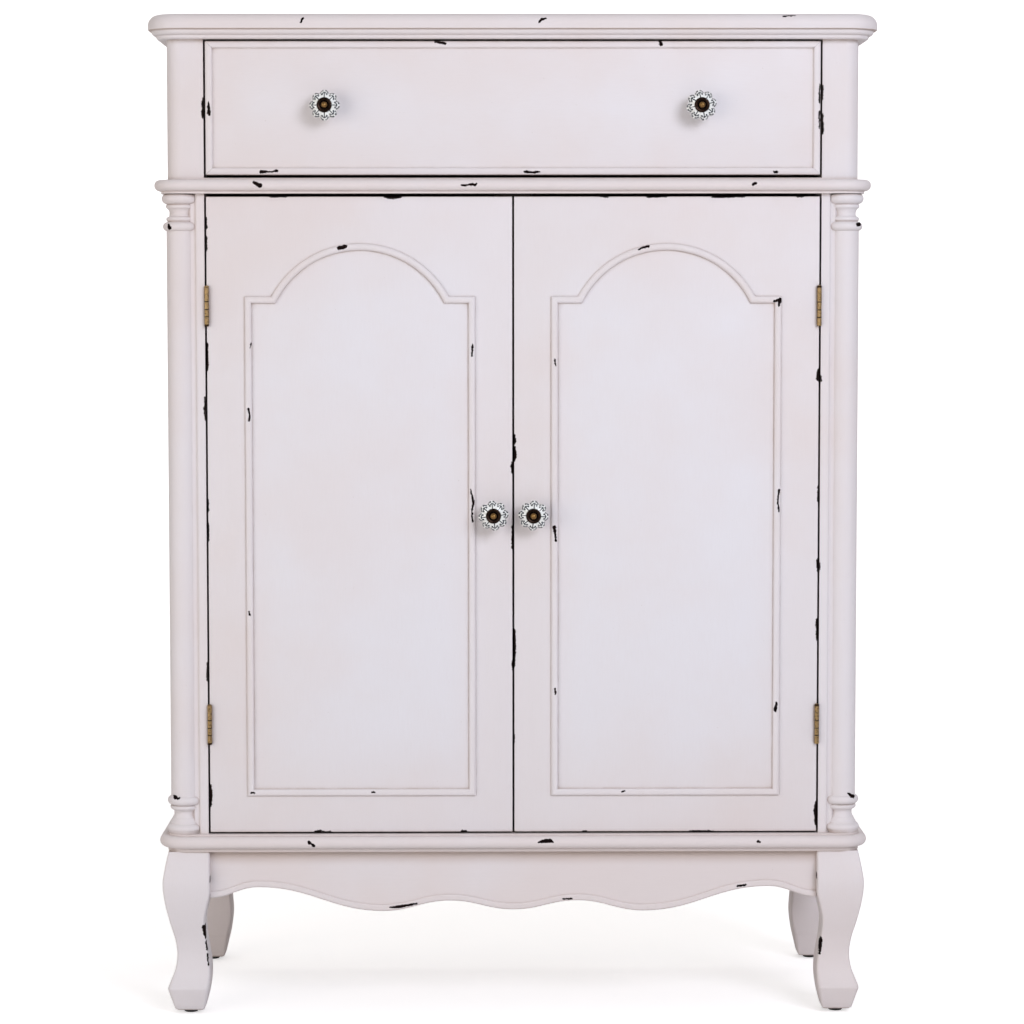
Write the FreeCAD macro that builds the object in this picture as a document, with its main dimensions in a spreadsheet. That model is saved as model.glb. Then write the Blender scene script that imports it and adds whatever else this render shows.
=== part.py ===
"""Painted armoire: one drawer over two arched-moulding doors, turned corner columns, cabriole legs.

Frame: origin on the floor under the middle of the bounding box, +Z up, the front faces -Y. Millimetres.
"""
import FreeCAD, Part
import math
import os

import Sketcher
from FreeCAD import Placement, Rotation, Vector

FULL_TURN = 360
QUARTER = 90

# ---------------------------------------------------------------- driving dimensions
DIMENSIONS = {
    # overall levels, upwards from the floor
    "glide_lift": 4.5,
    "leg_top": 199.5,
    "base_nose_low": 204.0,
    "base_nose_high": 218.7,
    "base_top": 220.8,
    "door_low": 222.9,
    "door_high": 985.3,
    "waist_low": 989.0,
    "waist_nose_low": 992.2,
    "waist_nose_high": 1005.4,
    "waist_top": 1007.6,
    "drawer_low": 1011.0,
    "drawer_high": 1168.8,
    "cornice_low": 1170.8,
    "cornice_step": 1175.6,
    "slab_low": 1181.7,
    "slab_top": 1200.0,
    # plan
    "case_half": 412.0,
    "face": -159.0,
    "case_back": 185.0,
    "slab_back": 197.0,
    "corner_round": 18.0,
    "slab_out": 22.0,
    "cornice_out": 18.0,
    "cornice_step_out": 12.0,
    "waist_out": 16.0,
    "waist_fillet_out": 8.0,
    "base_out": 15.7,
    "base_fillet_out": 6.0,
    # corner posts and columns
    "post_inner": 367.5,
    "post_deep": 46.0,
    "notch_x": 378.6,
    "notch_deep": 33.0,
    "stile_cove": 3.4,
    "column_x": 396.4,
    "column_set": 15.5,
    "shaft_r": 17.3,
    # boards
    "side_thick": 18.0,
    "back_thick": 4.0,
    "shelf_thick": 16.0,
    "shelf_low_top": 480.0,
    "shelf_high_top": 735.0,
    "shelf_gap": 1.0,
    # doors
    "door_edge": 365.1,
    "door_meet": 1.2,
    "door_thick": 19.0,
    "trim_outer": 320.3,
    "trim_inner": 45.0,
    "trim_wide": 8.6,
    "trim_high": 4.6,
    "trim_low": 266.6,
    "trim_shoulder": 867.2,
    "trim_crown": 930.1,
    "arch_r": 120.5,
    # hinges
    "hinge_x": 365.0,
    "hinge_ahead": 2.9,
    "hinge_tall": 48.0,
    "hinge_barrel_r": 2.75,
    "hinge_pin_r": 1.25,
    "hinge_bore_r": 1.31,
    "hinge_leaf": 1.0,
    "hinge_leaf_deep": 15.0,
    "hinge_high_z": 855.4,
    "hinge_low_z": 353.4,
    # drawer
    "drawer_half": 364.9,
    "front_thick": 18.0,
    "edge_trim_wide": 9.0,
    "edge_trim_high": 3.6,
    "drawer_box_half": 352.0,
    "drawer_board": 12.0,
    "drawer_box_low": 1017.0,
    "drawer_box_high": 1137.0,
    "drawer_box_back": 168.0,
    "drawer_floor": 1025.0,
    "drawer_floor_thick": 5.0,
    "drawer_groove": 5.0,
    # ball-bearing slides
    "slide_z": 1072.0,
    "slide_front": -128.0,
    "slide_long": 290.0,
    "slide_tall": 27.0,
    "slide_wide": 13.3,
    "slide_sheet": 1.4,
    "slide_inner_tall": 17.0,
    "slide_inner_wide": 8.6,
    "cage_start": 106.0,
    "cage_long": 72.0,
    "ball_r": 1.6,
    # knobs
    "knob_r": 18.0,
    "knob_door_x": 23.8,
    "knob_door_z": 606.5,
    "knob_drawer_x": 222.4,
    "knob_drawer_z": 1091.8,
    "knob_bolt_r": 2.0,
    "knob_hole_r": 2.25,
    "knob_reach": 38.0,
    # legs and aprons
    "apron_set": 4.0,
    "apron_thick": 18.0,
    "apron_bead_wide": 8.0,
    "apron_bead_high": 3.0,
    "rear_rail_low": 150.0,
    "glide_r": 8.5,
}

doc = FreeCAD.newDocument("armoire")
sheet = doc.addObject("Spreadsheet::Sheet", "Dimensions")
for row, (alias, value) in enumerate(DIMENSIONS.items(), start=1):
    sheet.set(f"A{row}", alias)
    sheet.set(f"B{row}", str(value))
    sheet.setAlias(f"B{row}", alias)
doc.recompute()


class Size:
    """A length that keeps its spreadsheet expression beside its present value."""

    def __init__(self, text, value):
        self.text = text
        self.value = value

    def __add__(self, other):
        other = size(other)
        return Size(f"({self.text} + {other.text})", self.value + other.value)

    def __sub__(self, other):
        other = size(other)
        return Size(f"({self.text} - {other.text})", self.value - other.value)

    def __mul__(self, factor):
        return Size(f"({self.text} * {factor})", self.value * factor)

    def __truediv__(self, divisor):
        return Size(f"({self.text} / {divisor})", self.value / divisor)

    def __neg__(self):
        return Size(f"(-1 * {self.text})", -self.value)

    def __radd__(self, other):
        return size(other) + self

    def __rsub__(self, other):
        return size(other) - self


def size(value):
    """A plain number as a Size; a Size passes through."""
    return value if isinstance(value, Size) else Size(repr(float(value)), float(value))


def root(value):
    """The square root of a Size."""
    return Size(f"sqrt({value.text})", math.sqrt(value.value))


def product(first, second):
    """Two Sizes multiplied."""
    return Size(f"({first.text} * {second.text})", first.value * second.value)


class Cells:
    """Gives each named cell of the sheet as a Size: cell.face is the door face."""

    def __getattr__(self, name):
        return Size(f"Dimensions.{name}", float(sheet.get(name)))


cell = Cells()


# ---------------------------------------------------------------- building helpers
def bind(thing, prop, value):
    thing.setExpression(prop, size(value).text)


def place(thing, x=0, y=0, z=0):
    """Moves an object to a spreadsheet-driven position."""
    for axis, value in zip("xyz", (x, y, z)):
        bind(thing, f"Placement.Base.{axis}", value)
    return thing


def box(name, x, y, z):
    """A board between the low and high Sizes of each axis."""
    thing = doc.addObject("Part::Box", name)
    for prop, (low, high) in zip(("Length", "Width", "Height"), (x, y, z)):
        bind(thing, prop, size(high) - low)
    return place(thing, x[0], y[0], z[0])


def rod(name, radius, length, x, y, z, turn=Rotation()):
    """A cylinder from its foot at x, y, z; turn swings it off the vertical."""
    thing = doc.addObject("Part::Cylinder", name)
    bind(thing, "Radius", radius)
    bind(thing, "Height", length)
    thing.Placement = Placement(Vector(), turn)
    return place(thing, x, y, z)


def join(name, *parts):
    thing = doc.addObject("Part::MultiFuse", name)
    thing.Shapes = list(parts)
    return thing


def group(name, *parts):
    """Separate solids that share one node."""
    thing = doc.addObject("Part::Compound", name)
    thing.Links = list(parts)
    return thing


def cut(name, base, *tools):
    thing = doc.addObject("Part::Cut", name)
    thing.Base = base
    thing.Tool = tools[0] if len(tools) == 1 else join(name + "_tools", *tools)
    return thing


def mirror(name, source, normal=Vector(1, 0, 0)):
    """The other hand of a part, across the middle of the armoire."""
    thing = doc.addObject("Part::Mirroring", name)
    thing.Source = source
    thing.Normal = normal
    return thing


def new_body(name):
    return doc.addObject("PartDesign::Body", name)


def origin_feature(body, role):
    return next(f for f in body.Origin.OriginFeatures if f.Role == role)


def arc_through(start, end, radius, clockwise):
    """The short arc between two sketch points."""
    chord = end - start
    middle = (start + end) / 2
    rise = math.sqrt(max(radius**2 - (chord.Length / 2) ** 2, 0))
    side = Vector(-chord.y, chord.x, 0).normalize() * (-rise if clockwise else rise)
    centre = middle + side
    first, last = (end, start) if clockwise else (start, end)
    angles = [math.atan2(p.y - centre.y, p.x - centre.x) for p in (first, last)]
    if angles[1] < angles[0]:
        angles[1] += 2 * math.pi
    circle = Part.Circle(centre, Vector(0, 0, 1), radius)
    return Part.ArcOfCircle(circle, angles[0], angles[1])


def sketch(body, name, plane, loops, level=None):
    """A sketch of closed loops. A loop is a list of (x, y) or (x, y, radius, turn) corners:
    a corner with a radius starts an arc to the next corner, turn being "cw" or "ccw"."""
    drawing = body.newObject("Sketcher::SketchObject", name)
    drawing.AttachmentSupport = [(origin_feature(body, plane), "")]
    drawing.MapMode = "FlatFace"
    if level is not None:
        bind(drawing, "AttachmentOffset.Base.z", level)
    for loop in loops:
        corners = [tuple(size(v) for v in corner[:2]) for corner in loop]
        points = [Vector(x.value, y.value, 0) for x, y in corners]
        first = drawing.GeometryCount
        starts = []
        for i, corner in enumerate(loop):
            start, end = points[i], points[(i + 1) % len(points)]
            if len(corner) == 2:
                drawing.addGeometry(Part.LineSegment(start, end), False)
                starts.append(1)
            else:
                clockwise = corner[3] == "cw"
                radius = size(corner[2])
                drawing.addGeometry(arc_through(start, end, radius.value, clockwise), False)
                starts.append(2 if clockwise else 1)
        for i, (x, y) in enumerate(corners):
            geometry, before = first + i, first + (i - 1) % len(corners)
            before_end = 3 - starts[(i - 1) % len(corners)]
            drawing.addConstraint(Sketcher.Constraint("Coincident", before, before_end, geometry, starts[i]))
            for kind, value in (("DistanceX", x), ("DistanceY", y)):
                number = drawing.addConstraint(
                    Sketcher.Constraint(kind, -1, 1, geometry, starts[i], value.value)
                )
                drawing.setExpression(f"Constraints[{number}]", value.text)
            if len(loop[i]) > 2:
                radius = size(loop[i][2])
                number = drawing.addConstraint(Sketcher.Constraint("Radius", geometry, radius.value))
                drawing.setExpression(f"Constraints[{number}]", radius.text)
    return drawing


def pad(body, name, drawing, length, reverse=False):
    thing = body.newObject("PartDesign::Pad", name)
    thing.Profile = drawing
    bind(thing, "Length", length)
    thing.Reversed = reverse
    return thing


def pocket_through(body, name, drawing):
    """Cuts a sketch right through the body, both ways."""
    thing = body.newObject("PartDesign::Pocket", name)
    thing.Profile = drawing
    thing.Type = "ThroughAll"
    thing.Midplane = True
    return thing


def turned(body, name, drawing):
    """A full revolution about the sketch's own vertical axis."""
    thing = body.newObject("PartDesign::Revolution", name)
    thing.Profile = drawing
    thing.ReferenceAxis = (drawing, ["V_Axis"])
    thing.Angle = FULL_TURN
    return thing


def round_edges(body, name, feature, radius, wanted):
    """A fillet on the edges of the feature that pass the test."""
    doc.recompute()
    names = [f"Edge{i}" for i, edge in enumerate(feature.Shape.Edges, start=1) if wanted(edge)]
    if not names:
        raise RuntimeError(f"{name} finds no edge to round")
    thing = body.newObject("PartDesign::Fillet", name)
    thing.Base = (feature, names)
    bind(thing, "Radius", radius)
    return thing


def at_level(z, back):
    """A test for edges that lie at one height and not along the back."""

    def wanted(edge):
        bounds = edge.BoundBox
        level = abs(bounds.ZMin - z.value) < 0.01 and abs(bounds.ZMax - z.value) < 0.01
        return level and bounds.YMin < back.value - 0.01

    return wanted


parts = {}


def keep(node, thing):
    """Names an object as one of the armoire's finished parts."""
    thing.Label = node
    parts[node] = thing
    return thing


# ---------------------------------------------------------------- boards with moulded edges
def plan_loop(out, back):
    """The case's plan grown by out on three sides, with round front corners."""
    half = cell.case_half + out
    front = cell.face - out
    bend = cell.corner_round + out
    return [
        (-half, back),
        (-half, front + bend, bend, "ccw"),
        (-half + bend, front),
        (half - bend, front, bend, "ccw"),
        (half, front + bend),
        (half, back),
    ]


def layer(body, name, out, back, low, high):
    """One layer of a moulded board."""
    drawing = sketch(body, name + "_plan", "XY_Plane", [plan_loop(out, back)], low)
    return pad(body, name, drawing, high - low)


def make_top_panel():
    body = new_body("TopPanel")
    slab = layer(body, "slab", cell.slab_out, cell.slab_back, cell.slab_low, cell.slab_top)
    upper = round_edges(body, "slab_nose", slab, 12.0, at_level(cell.slab_top, cell.slab_back))
    round_edges(body, "slab_arris", upper, 1.5, at_level(cell.slab_low, cell.slab_back))
    keep("top_panel", body)


def make_cornice_board():
    body = new_body("CorniceBoard")
    upper = layer(body, "cove", cell.cornice_out, cell.case_back, cell.cornice_step, cell.slab_low)
    round_edges(body, "cove_round", upper, 5.0, at_level(cell.cornice_step, cell.case_back))
    lower = layer(
        body, "bead", cell.cornice_step_out, cell.case_back, cell.cornice_low, cell.cornice_step
    )
    round_edges(body, "bead_round", lower, 3.0, at_level(cell.cornice_low, cell.case_back))
    keep("cornice_board", body)


def make_waist_board():
    """The board between drawer and doors, with a bullnose between two fillets."""
    body = new_body("WaistBody")
    nose_half = (cell.waist_nose_high - cell.waist_nose_low) / 2
    nose = layer(
        body, "nose", cell.waist_out, cell.case_back, cell.waist_nose_low, cell.waist_nose_high
    )
    rounded = round_edges(
        body, "nose_top", nose, nose_half - 0.2, at_level(cell.waist_nose_high, cell.case_back)
    )
    round_edges(
        body, "nose_under", rounded, nose_half - 0.2, at_level(cell.waist_nose_low, cell.case_back)
    )
    layer(
        body, "under_fillet", cell.waist_fillet_out, cell.case_back, cell.waist_low, cell.waist_nose_low
    )
    layer(body, "upper_fillet", size(0), cell.case_back, cell.waist_nose_high, cell.waist_top)
    inner = cell.case_half - cell.side_thick
    rebate = box(
        "WaistRebate",
        (-inner, inner),
        (cell.case_back - cell.back_thick, cell.case_back + 1),
        (cell.waist_low - 1, cell.waist_top + 1),
    )
    keep("waist_board", cut("WaistBoard", body, rebate))


def make_base_board():
    """The floor of the case, which shows as the moulding over the legs."""
    body = new_body("BaseBoard")
    nose_half = (cell.base_nose_high - cell.base_nose_low) / 2
    nose = layer(
        body, "nose", cell.base_out, cell.case_back, cell.base_nose_low, cell.base_nose_high
    )
    rounded = round_edges(
        body, "nose_top", nose, nose_half - 0.2, at_level(cell.base_nose_high, cell.case_back)
    )
    round_edges(
        body, "nose_under", rounded, nose_half - 0.2, at_level(cell.base_nose_low, cell.case_back)
    )
    layer(body, "under_fillet", cell.base_fillet_out, cell.case_back, cell.leg_top, cell.base_nose_low)
    layer(body, "upper_fillet", cell.base_fillet_out, cell.case_back, cell.base_nose_high, cell.base_top)
    keep("base_board", body)


# ---------------------------------------------------------------- corner posts, columns, case
def make_posts():
    """The rounded posts beside the drawer and the notched stiles that carry the columns."""
    behind = cell.face + cell.post_deep
    body = new_body("UpperPost")
    plan = [
        (cell.post_inner, cell.face),
        (cell.case_half - cell.corner_round, cell.face, cell.corner_round, "ccw"),
        (cell.case_half, cell.face + cell.corner_round),
        (cell.case_half, behind),
        (cell.post_inner, behind),
    ]
    drawing = sketch(body, "post_plan", "XY_Plane", [plan], cell.waist_top)
    pad(body, "post", drawing, cell.cornice_low - cell.waist_top)
    keep("upper_post_right", body)
    keep("upper_post_left", mirror("UpperPostLeft", body))

    body = new_body("Stile")
    notch_back = cell.face + cell.notch_deep
    plan = [
        (cell.post_inner, cell.face),
        (cell.notch_x - cell.stile_cove, cell.face, cell.stile_cove, "ccw"),
        (cell.notch_x, cell.face + cell.stile_cove),
        (cell.notch_x, notch_back),
        (cell.case_half, notch_back),
        (cell.case_half, behind),
        (cell.post_inner, behind),
    ]
    drawing = sketch(body, "stile_plan", "XY_Plane", [plan], cell.base_top)
    pad(body, "stile", drawing, cell.waist_low - cell.base_top)
    keep("stile_right", body)
    keep("stile_left", mirror("StileLeft", body))


def column_profile():
    """Half section of the turned column: base, shaft and capital, from the axis outwards."""
    low, high, shaft = cell.base_top, cell.waist_low, cell.shaft_r
    neck = shaft - 3.6
    return [
        (0, low),
        (shaft + 2.6, low),
        (shaft + 3.9, low + 3.2, size(4.6), "ccw"),
        (shaft + 3.0, low + 10.0),
        (shaft + 1.2, low + 11.2),
        (shaft + 1.2, low + 12.6, size(13.0), "cw"),
        (shaft - 1.6, low + 18.0),
        (shaft - 2.4, low + 18.6, size(16.0), "cw"),
        (neck - 0.6, low + 24.0, size(4.2), "cw"),
        (shaft - 1.0, low + 28.2),
        (shaft + 0.2, low + 29.4, size(2.6), "ccw"),
        (shaft - 0.6, low + 33.8),
        (shaft - 0.6, low + 34.4),
        (shaft + 0.4, low + 34.4, size(5.35), "ccw"),
        (shaft + 0.4, low + 44.6),
        (shaft, low + 45.4),
        (shaft, high - 44.6),
        (shaft + 0.6, high - 44.0, size(5.4), "ccw"),
        (shaft + 0.6, high - 33.8),
        (shaft - 1.4, high - 33.2),
        (shaft - 1.2, high - 32.6, size(2.9), "ccw"),
        (shaft - 1.2, high - 27.6),
        (neck, high - 26.4),
        (neck - 0.4, high - 24.6, size(9.0), "cw"),
        (shaft - 1.6, high - 18.0),
        (shaft - 0.6, high - 17.4, size(2.9), "ccw"),
        (shaft - 0.6, high - 12.6),
        (shaft + 0.6, high - 12.0, size(6.3), "ccw"),
        (shaft + 1.4, high),
        (0, high),
    ]


def make_columns():
    """Turned columns, trimmed flat where they are glued into the stiles' notches."""
    body = new_body("ColumnTurning")
    drawing = sketch(body, "column_section", "XZ_Plane", [column_profile()])
    turned(body, "column_turning", drawing)
    place(body, cell.column_x, cell.face + cell.column_set, 0)
    glue = 0.1
    reach = 60
    low, high = cell.base_top - 1, cell.waist_low + 1
    cheek = box(
        "ColumnCheek",
        (cell.notch_x - reach, cell.notch_x + glue),
        (cell.face - reach, cell.face + reach + reach),
        (low, high),
    )
    behind = box(
        "ColumnBehind",
        (cell.notch_x - reach, cell.case_half + reach),
        (cell.face + cell.notch_deep - glue, cell.face + reach + reach),
        (low, high),
    )
    column = cut("ColumnRight", body, cheek, behind)
    keep("column_right", column)
    keep("column_left", mirror("ColumnLeft", column))


def make_case_panels():
    behind = cell.face + cell.post_deep
    inner = cell.case_half - cell.side_thick
    wall = (inner, cell.case_half)
    deep = (behind, cell.case_back)
    side = box("SideRight", wall, deep, (cell.base_top, cell.waist_low))
    keep("side_panel_right", side)
    keep("side_panel_left", mirror("SideLeft", side))
    upper = box("UpperSideRight", wall, deep, (cell.waist_top, cell.cornice_low))
    keep("upper_side_panels", group("UpperSides", upper, mirror("UpperSideLeft", upper)))
    back = (cell.case_back - cell.back_thick, cell.case_back)
    keep("back_panel", box("BackPanel", (-inner, inner), back, (cell.base_top, cell.cornice_low)))


def make_shelves():
    """Two loose shelves, each on four turned pins in the side panels."""
    pin_r, pin_out, pin_in = 2.5, 9.0, 8.0
    pin_front, pin_rear = cell.face + 90, cell.case_back - 50
    inner = cell.case_half - cell.side_thick
    half = inner - cell.shelf_gap
    deep = (cell.face + cell.post_deep + 2, cell.case_back - cell.back_thick - 2)
    pins = []
    for label, top in (("lower", cell.shelf_low_top), ("upper", cell.shelf_high_top)):
        below = top - cell.shelf_thick
        shelf = box(f"Shelf_{label}", (-half, half), deep, (below, top))
        keep(f"shelf_{label}", shelf)
        for place_name, y in (("front", pin_front), ("rear", pin_rear)):
            pins.append(
                rod(
                    f"Pin_{label}_{place_name}",
                    size(pin_r),
                    size(pin_out + pin_in),
                    inner - pin_out,
                    y,
                    below - pin_r,
                    Rotation(Vector(0, 1, 0), QUARTER),
                )
            )
    bored = cut("SideRightBored", parts["side_panel_right"], *pins)
    keep("side_panel_right", bored)
    keep("side_panel_left", mirror("SideLeftBored", bored))
    left_pins = [mirror(pin.Name + "_left", pin) for pin in pins]
    keep("shelf_pins", group("ShelfPins", *pins, *left_pins))


# ---------------------------------------------------------------- legs and aprons
def smooth(points):
    """A curve through points in the XZ plane."""
    curve = Part.BSplineCurve()
    curve.interpolate([Vector(x, 0, z) for x, z in points])
    return curve.toShape()


def leg_outline(inner, heel_in):
    """Face of a cabriole leg as (outwards, height): outwards is measured from the case's corner."""
    top, low = cell.leg_top.value, cell.glide_lift.value
    outer = [
        (4.0, top),
        (8.4, 179.0),
        (10.8, 160.0),
        (8.6, 138.0),
        (3.2, 113.0),
        (-2.4, 92.0),
        (-4.8, 73.0),
        (-2.8, 56.0),
        (2.6, 41.5),
        (6.4, 32.0),
    ]
    heel, toe = (-heel_in, low), (-2.6, low)
    edges = [
        smooth(outer),
        Part.makeLine(Vector(outer[-1][0], 0, outer[-1][1]), Vector(toe[0], 0, toe[1])),
        Part.makeLine(Vector(toe[0], 0, toe[1]), Vector(heel[0], 0, heel[1])),
        Part.makeLine(Vector(heel[0], 0, heel[1]), Vector(inner[-1][0], 0, inner[-1][1])),
        smooth(inner[::-1]),
        Part.makeLine(Vector(inner[0][0], 0, inner[0][1]), Vector(inner[0][0], 0, top)),
        Part.makeLine(Vector(inner[0][0], 0, top), Vector(outer[0][0], 0, top)),
    ]
    return Part.Wire(Part.__sortEdges__(edges))


def leg_blank(inner, heel_in):
    """One outline sawn from two faces of a square blank."""
    face = Part.Face(leg_outline(inner, heel_in))
    reach = 120.0
    face.translate(Vector(0, -reach / 2, 0))
    first = face.extrude(Vector(0, reach, 0))
    second = first.copy()
    second.rotate(Vector(), Vector(0, 0, 1), QUARTER)
    return first.common(second)


def make_legs():
    """Four cabriole legs: the front pair flares into a foot, the rear pair swells and tapers."""
    front_inner = [
        (-45.8, 147.0),
        (-42.2, 133.0),
        (-38.8, 115.0),
        (-39.6, 96.0),
        (-42.2, 76.0),
        (-44.4, 60.0),
        (-45.0, 46.0),
        (-44.0, 33.0),
        (-41.6, 20.0),
    ]
    rear_inner = [(-45.8, 147.0), (-44.2, 118.0), (-44.8, 92.0), (-46.8, 62.0), (-43.0, 34.0)]
    front = leg_blank(front_inner, 37.6)
    rear = leg_blank(rear_inner, 36.0)
    corners = {
        "leg_rear_right": (rear, 1, 1, cell.case_half, cell.case_back),
        "leg_rear_left": (rear, -1, 1, cell.case_half, cell.case_back),
        "leg_front_right": (front, 1, -1, cell.case_half, cell.face),
        "leg_front_left": (front, -1, -1, cell.case_half, cell.face),
    }
    for node, (blank, hand_x, hand_y, x, y) in corners.items():
        shape = blank
        if hand_x < 0:
            shape = shape.mirror(Vector(), Vector(1, 0, 0))
        if hand_y < 0:
            shape = shape.mirror(Vector(), Vector(0, 1, 0))
        leg = doc.addObject("Part::Feature", node + "_shape")
        leg.Shape = shape
        place(leg, x * hand_x, y, 0)
        keep(node, leg)


def make_glides():
    """Nylon glides nailed under the four feet."""
    body = new_body("Glide")
    profile = [
        (0, 0),
        (cell.glide_r - 1.5, 0, size(1.5), "ccw"),
        (cell.glide_r, 1.5),
        (cell.glide_r, cell.glide_lift),
        (0, cell.glide_lift),
    ]
    turned(body, "glide_turning", sketch(body, "glide_section", "XZ_Plane", [profile]))
    foot_in = 20.1
    x = cell.case_half - foot_in
    front, rear = cell.face + foot_in, cell.case_back - foot_in
    place(body, x, front, 0)
    rear_right = doc.addObject("Part::Mirroring", "GlideRear")
    rear_right.Source = body
    rear_right.Normal = Vector(0, 1, 0)
    bind(rear_right, "Base.y", (front + rear) / 2)
    pair = group("GlidesRight", body, rear_right)
    keep("foot_glides", group("Glides", body, rear_right, mirror("GlidesLeft", pair)))


def wave(stations, lift=0.0):
    """Edges of a wavy line that is level at each (x, z) station."""
    edges = []
    for (x0, z0), (x1, z1) in zip(stations, stations[1:]):
        pull = (x1 - x0) * 0.42
        curve = Part.BezierCurve()
        poles = [(x0, z0), (x0 + pull, z0), (x1 - pull, z1), (x1, z1)]
        curve.setPoles([Vector(x, 0, z + lift) for x, z in poles])
        edges.append(curve.toShape())
    return edges


def wavy_board(stations, top, thick, bead_wide, bead_high):
    """An upright board in the XZ plane with a waved lower edge and a raised bead along it.
    Its face is at y 0 and the bead stands forward of it."""
    low_edges = wave(stations)
    (x0, z0), (x1, z1) = stations[0], stations[-1]
    sides = [
        Part.makeLine(Vector(x1, 0, z1), Vector(x1, 0, top)),
        Part.makeLine(Vector(x1, 0, top), Vector(x0, 0, top)),
        Part.makeLine(Vector(x0, 0, top), Vector(x0, 0, z0)),
    ]
    board = Part.Face(Part.Wire(low_edges + sides)).extrude(Vector(0, thick, 0))
    high_edges = wave(stations, bead_wide)
    ends = [
        Part.makeLine(Vector(x1, 0, z1), Vector(x1, 0, z1 + bead_wide)),
        Part.makeLine(Vector(x0, 0, z0), Vector(x0, 0, z0 + bead_wide)),
    ]
    ring = Part.Wire(Part.__sortEdges__(low_edges + high_edges + ends))
    bead = Part.Face(ring).extrude(Vector(0, -bead_high, 0))
    long_front = [
        e
        for e in bead.Edges
        if e.BoundBox.YMax < -bead_high + 0.01 and e.BoundBox.XLength > 1.0
    ]
    bead = bead.makeFillet(bead_high * 0.8, long_front)
    return board.fuse(bead).removeSplitter()


def make_aprons():
    top = cell.leg_top.value
    thick = cell.apron_thick.value
    bead_wide, bead_high = cell.apron_bead_wide.value, cell.apron_bead_high.value
    inner_leg = 45.8
    end = cell.case_half.value - inner_leg
    half = [(0, 127.2), (77, 138.2), (157, 125.6), (308, 155.0), (end, 142.0)]
    stations = [(-x, z) for x, z in half[:0:-1]] + half
    front = doc.addObject("Part::Feature", "ApronFrontShape")
    front.Shape = wavy_board(stations, top, thick, bead_wide, bead_high)
    place(front, 0, cell.face + cell.apron_set, 0)
    keep("apron_front", front)

    run = (cell.case_back - cell.face).value / 2 - inner_leg
    half = [(0, 127.2), (70, 150.0), (run, 140.0)]
    stations = [(-x, z) for x, z in half[:0:-1]] + half
    side_shape = wavy_board(stations, top, thick, bead_wide, bead_high)
    side_shape.rotate(Vector(), Vector(0, 0, 1), QUARTER)
    side = doc.addObject("Part::Feature", "ApronSideShape")
    side.Shape = side_shape
    place(side, cell.case_half - cell.apron_set, (cell.face + cell.case_back) / 2, 0)
    keep("side_aprons", group("SideAprons", side, mirror("ApronLeft", side)))

    rail_x = cell.case_half - inner_leg
    rear = box(
        "ApronBack",
        (-rail_x, rail_x),
        (cell.case_back - cell.apron_thick - cell.apron_set, cell.case_back - cell.apron_set),
        (cell.rear_rail_low, cell.leg_top),
    )
    keep("apron_back", rear)


# ---------------------------------------------------------------- doors
def knob_hole(name, x, z):
    """A drill for a knob's bolt, right through a front."""
    reach = 60
    return rod(
        name, cell.knob_hole_r, size(reach), x, cell.face + reach / 2, z,
        Rotation(Vector(1, 0, 0), QUARTER),
    )


def door_trim_loop(inset):
    """Outline of the door's arched moulding, moved in by inset."""
    left, right = cell.trim_inner + inset, cell.trim_outer - inset
    low, shoulder = cell.trim_low + inset, cell.trim_shoulder - inset
    radius = cell.arch_r - inset
    centre_x = (cell.trim_inner + cell.trim_outer) / 2
    rise = shoulder - (cell.trim_crown - cell.arch_r)
    spring = root(product(radius, radius) - product(rise, rise))
    # The sketch on the XZ plane has X to the right and Z up.
    return [
        (left, low),
        (right, low),
        (right, shoulder),
        (centre_x + spring, shoulder, radius, "ccw"),
        (centre_x - spring, shoulder),
        (left, shoulder),
    ]


def make_doors():
    """The right door is modelled; the left one is its mirror image."""
    panel = box(
        "DoorPanelBlank",
        (cell.door_meet, cell.door_edge),
        (cell.face, cell.face + cell.door_thick),
        (cell.door_low, cell.door_high),
    )
    drilled = cut("DoorPanel", panel, knob_hole("DoorDrill", cell.knob_door_x, cell.knob_door_z))
    keep("right_door_panel", drilled)
    keep("left_door_panel", mirror("LeftDoorPanel", drilled))

    body = new_body("DoorTrim")
    loops = [door_trim_loop(size(0)), door_trim_loop(cell.trim_wide)]
    drawing = sketch(body, "trim_outline", "XZ_Plane", loops)
    ring = pad(body, "trim_ring", drawing, cell.trim_high)
    place(body, 0, cell.face, 0)
    front = -cell.trim_high.value

    def on_front(edge):
        return abs(edge.BoundBox.YMax - front) < 0.01 and abs(edge.BoundBox.YMin - front) < 0.01

    round_edges(body, "trim_round", ring, cell.trim_high * 0.8, on_front)
    keep("right_door_moulding", body)
    keep("left_door_moulding", mirror("LeftDoorTrim", body))


def make_leaf_screws(name, head_x, into_wood, centre_z):
    """Three countersunk screws through a hinge leaf; into_wood is +1 or -1 along X."""
    head_r, shank_r, head_deep, shank_long = 2.2, 1.1, 1.0, 11.0
    turn = Rotation(Vector(0, 1, 0), QUARTER * into_wood)
    screws = []
    for number, (along, up) in enumerate(((8.0, -16.0), (11.0, 0.0), (8.0, 16.0))):
        y, z = cell.face + along, centre_z + up
        head = doc.addObject("Part::Cone", f"{name}_head{number}")
        bind(head, "Radius1", size(head_r))
        bind(head, "Radius2", size(shank_r))
        bind(head, "Height", size(head_deep))
        head.Placement = Placement(Vector(), turn)
        place(head, head_x, y, z)
        shank = rod(
            f"{name}_shank{number}", size(shank_r), size(shank_long), head_x + 0.5 * into_wood, y, z, turn
        )
        screws.append(join(f"{name}_screw{number}", head, shank))
    return group(f"{name}_screws", *screws)


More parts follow.
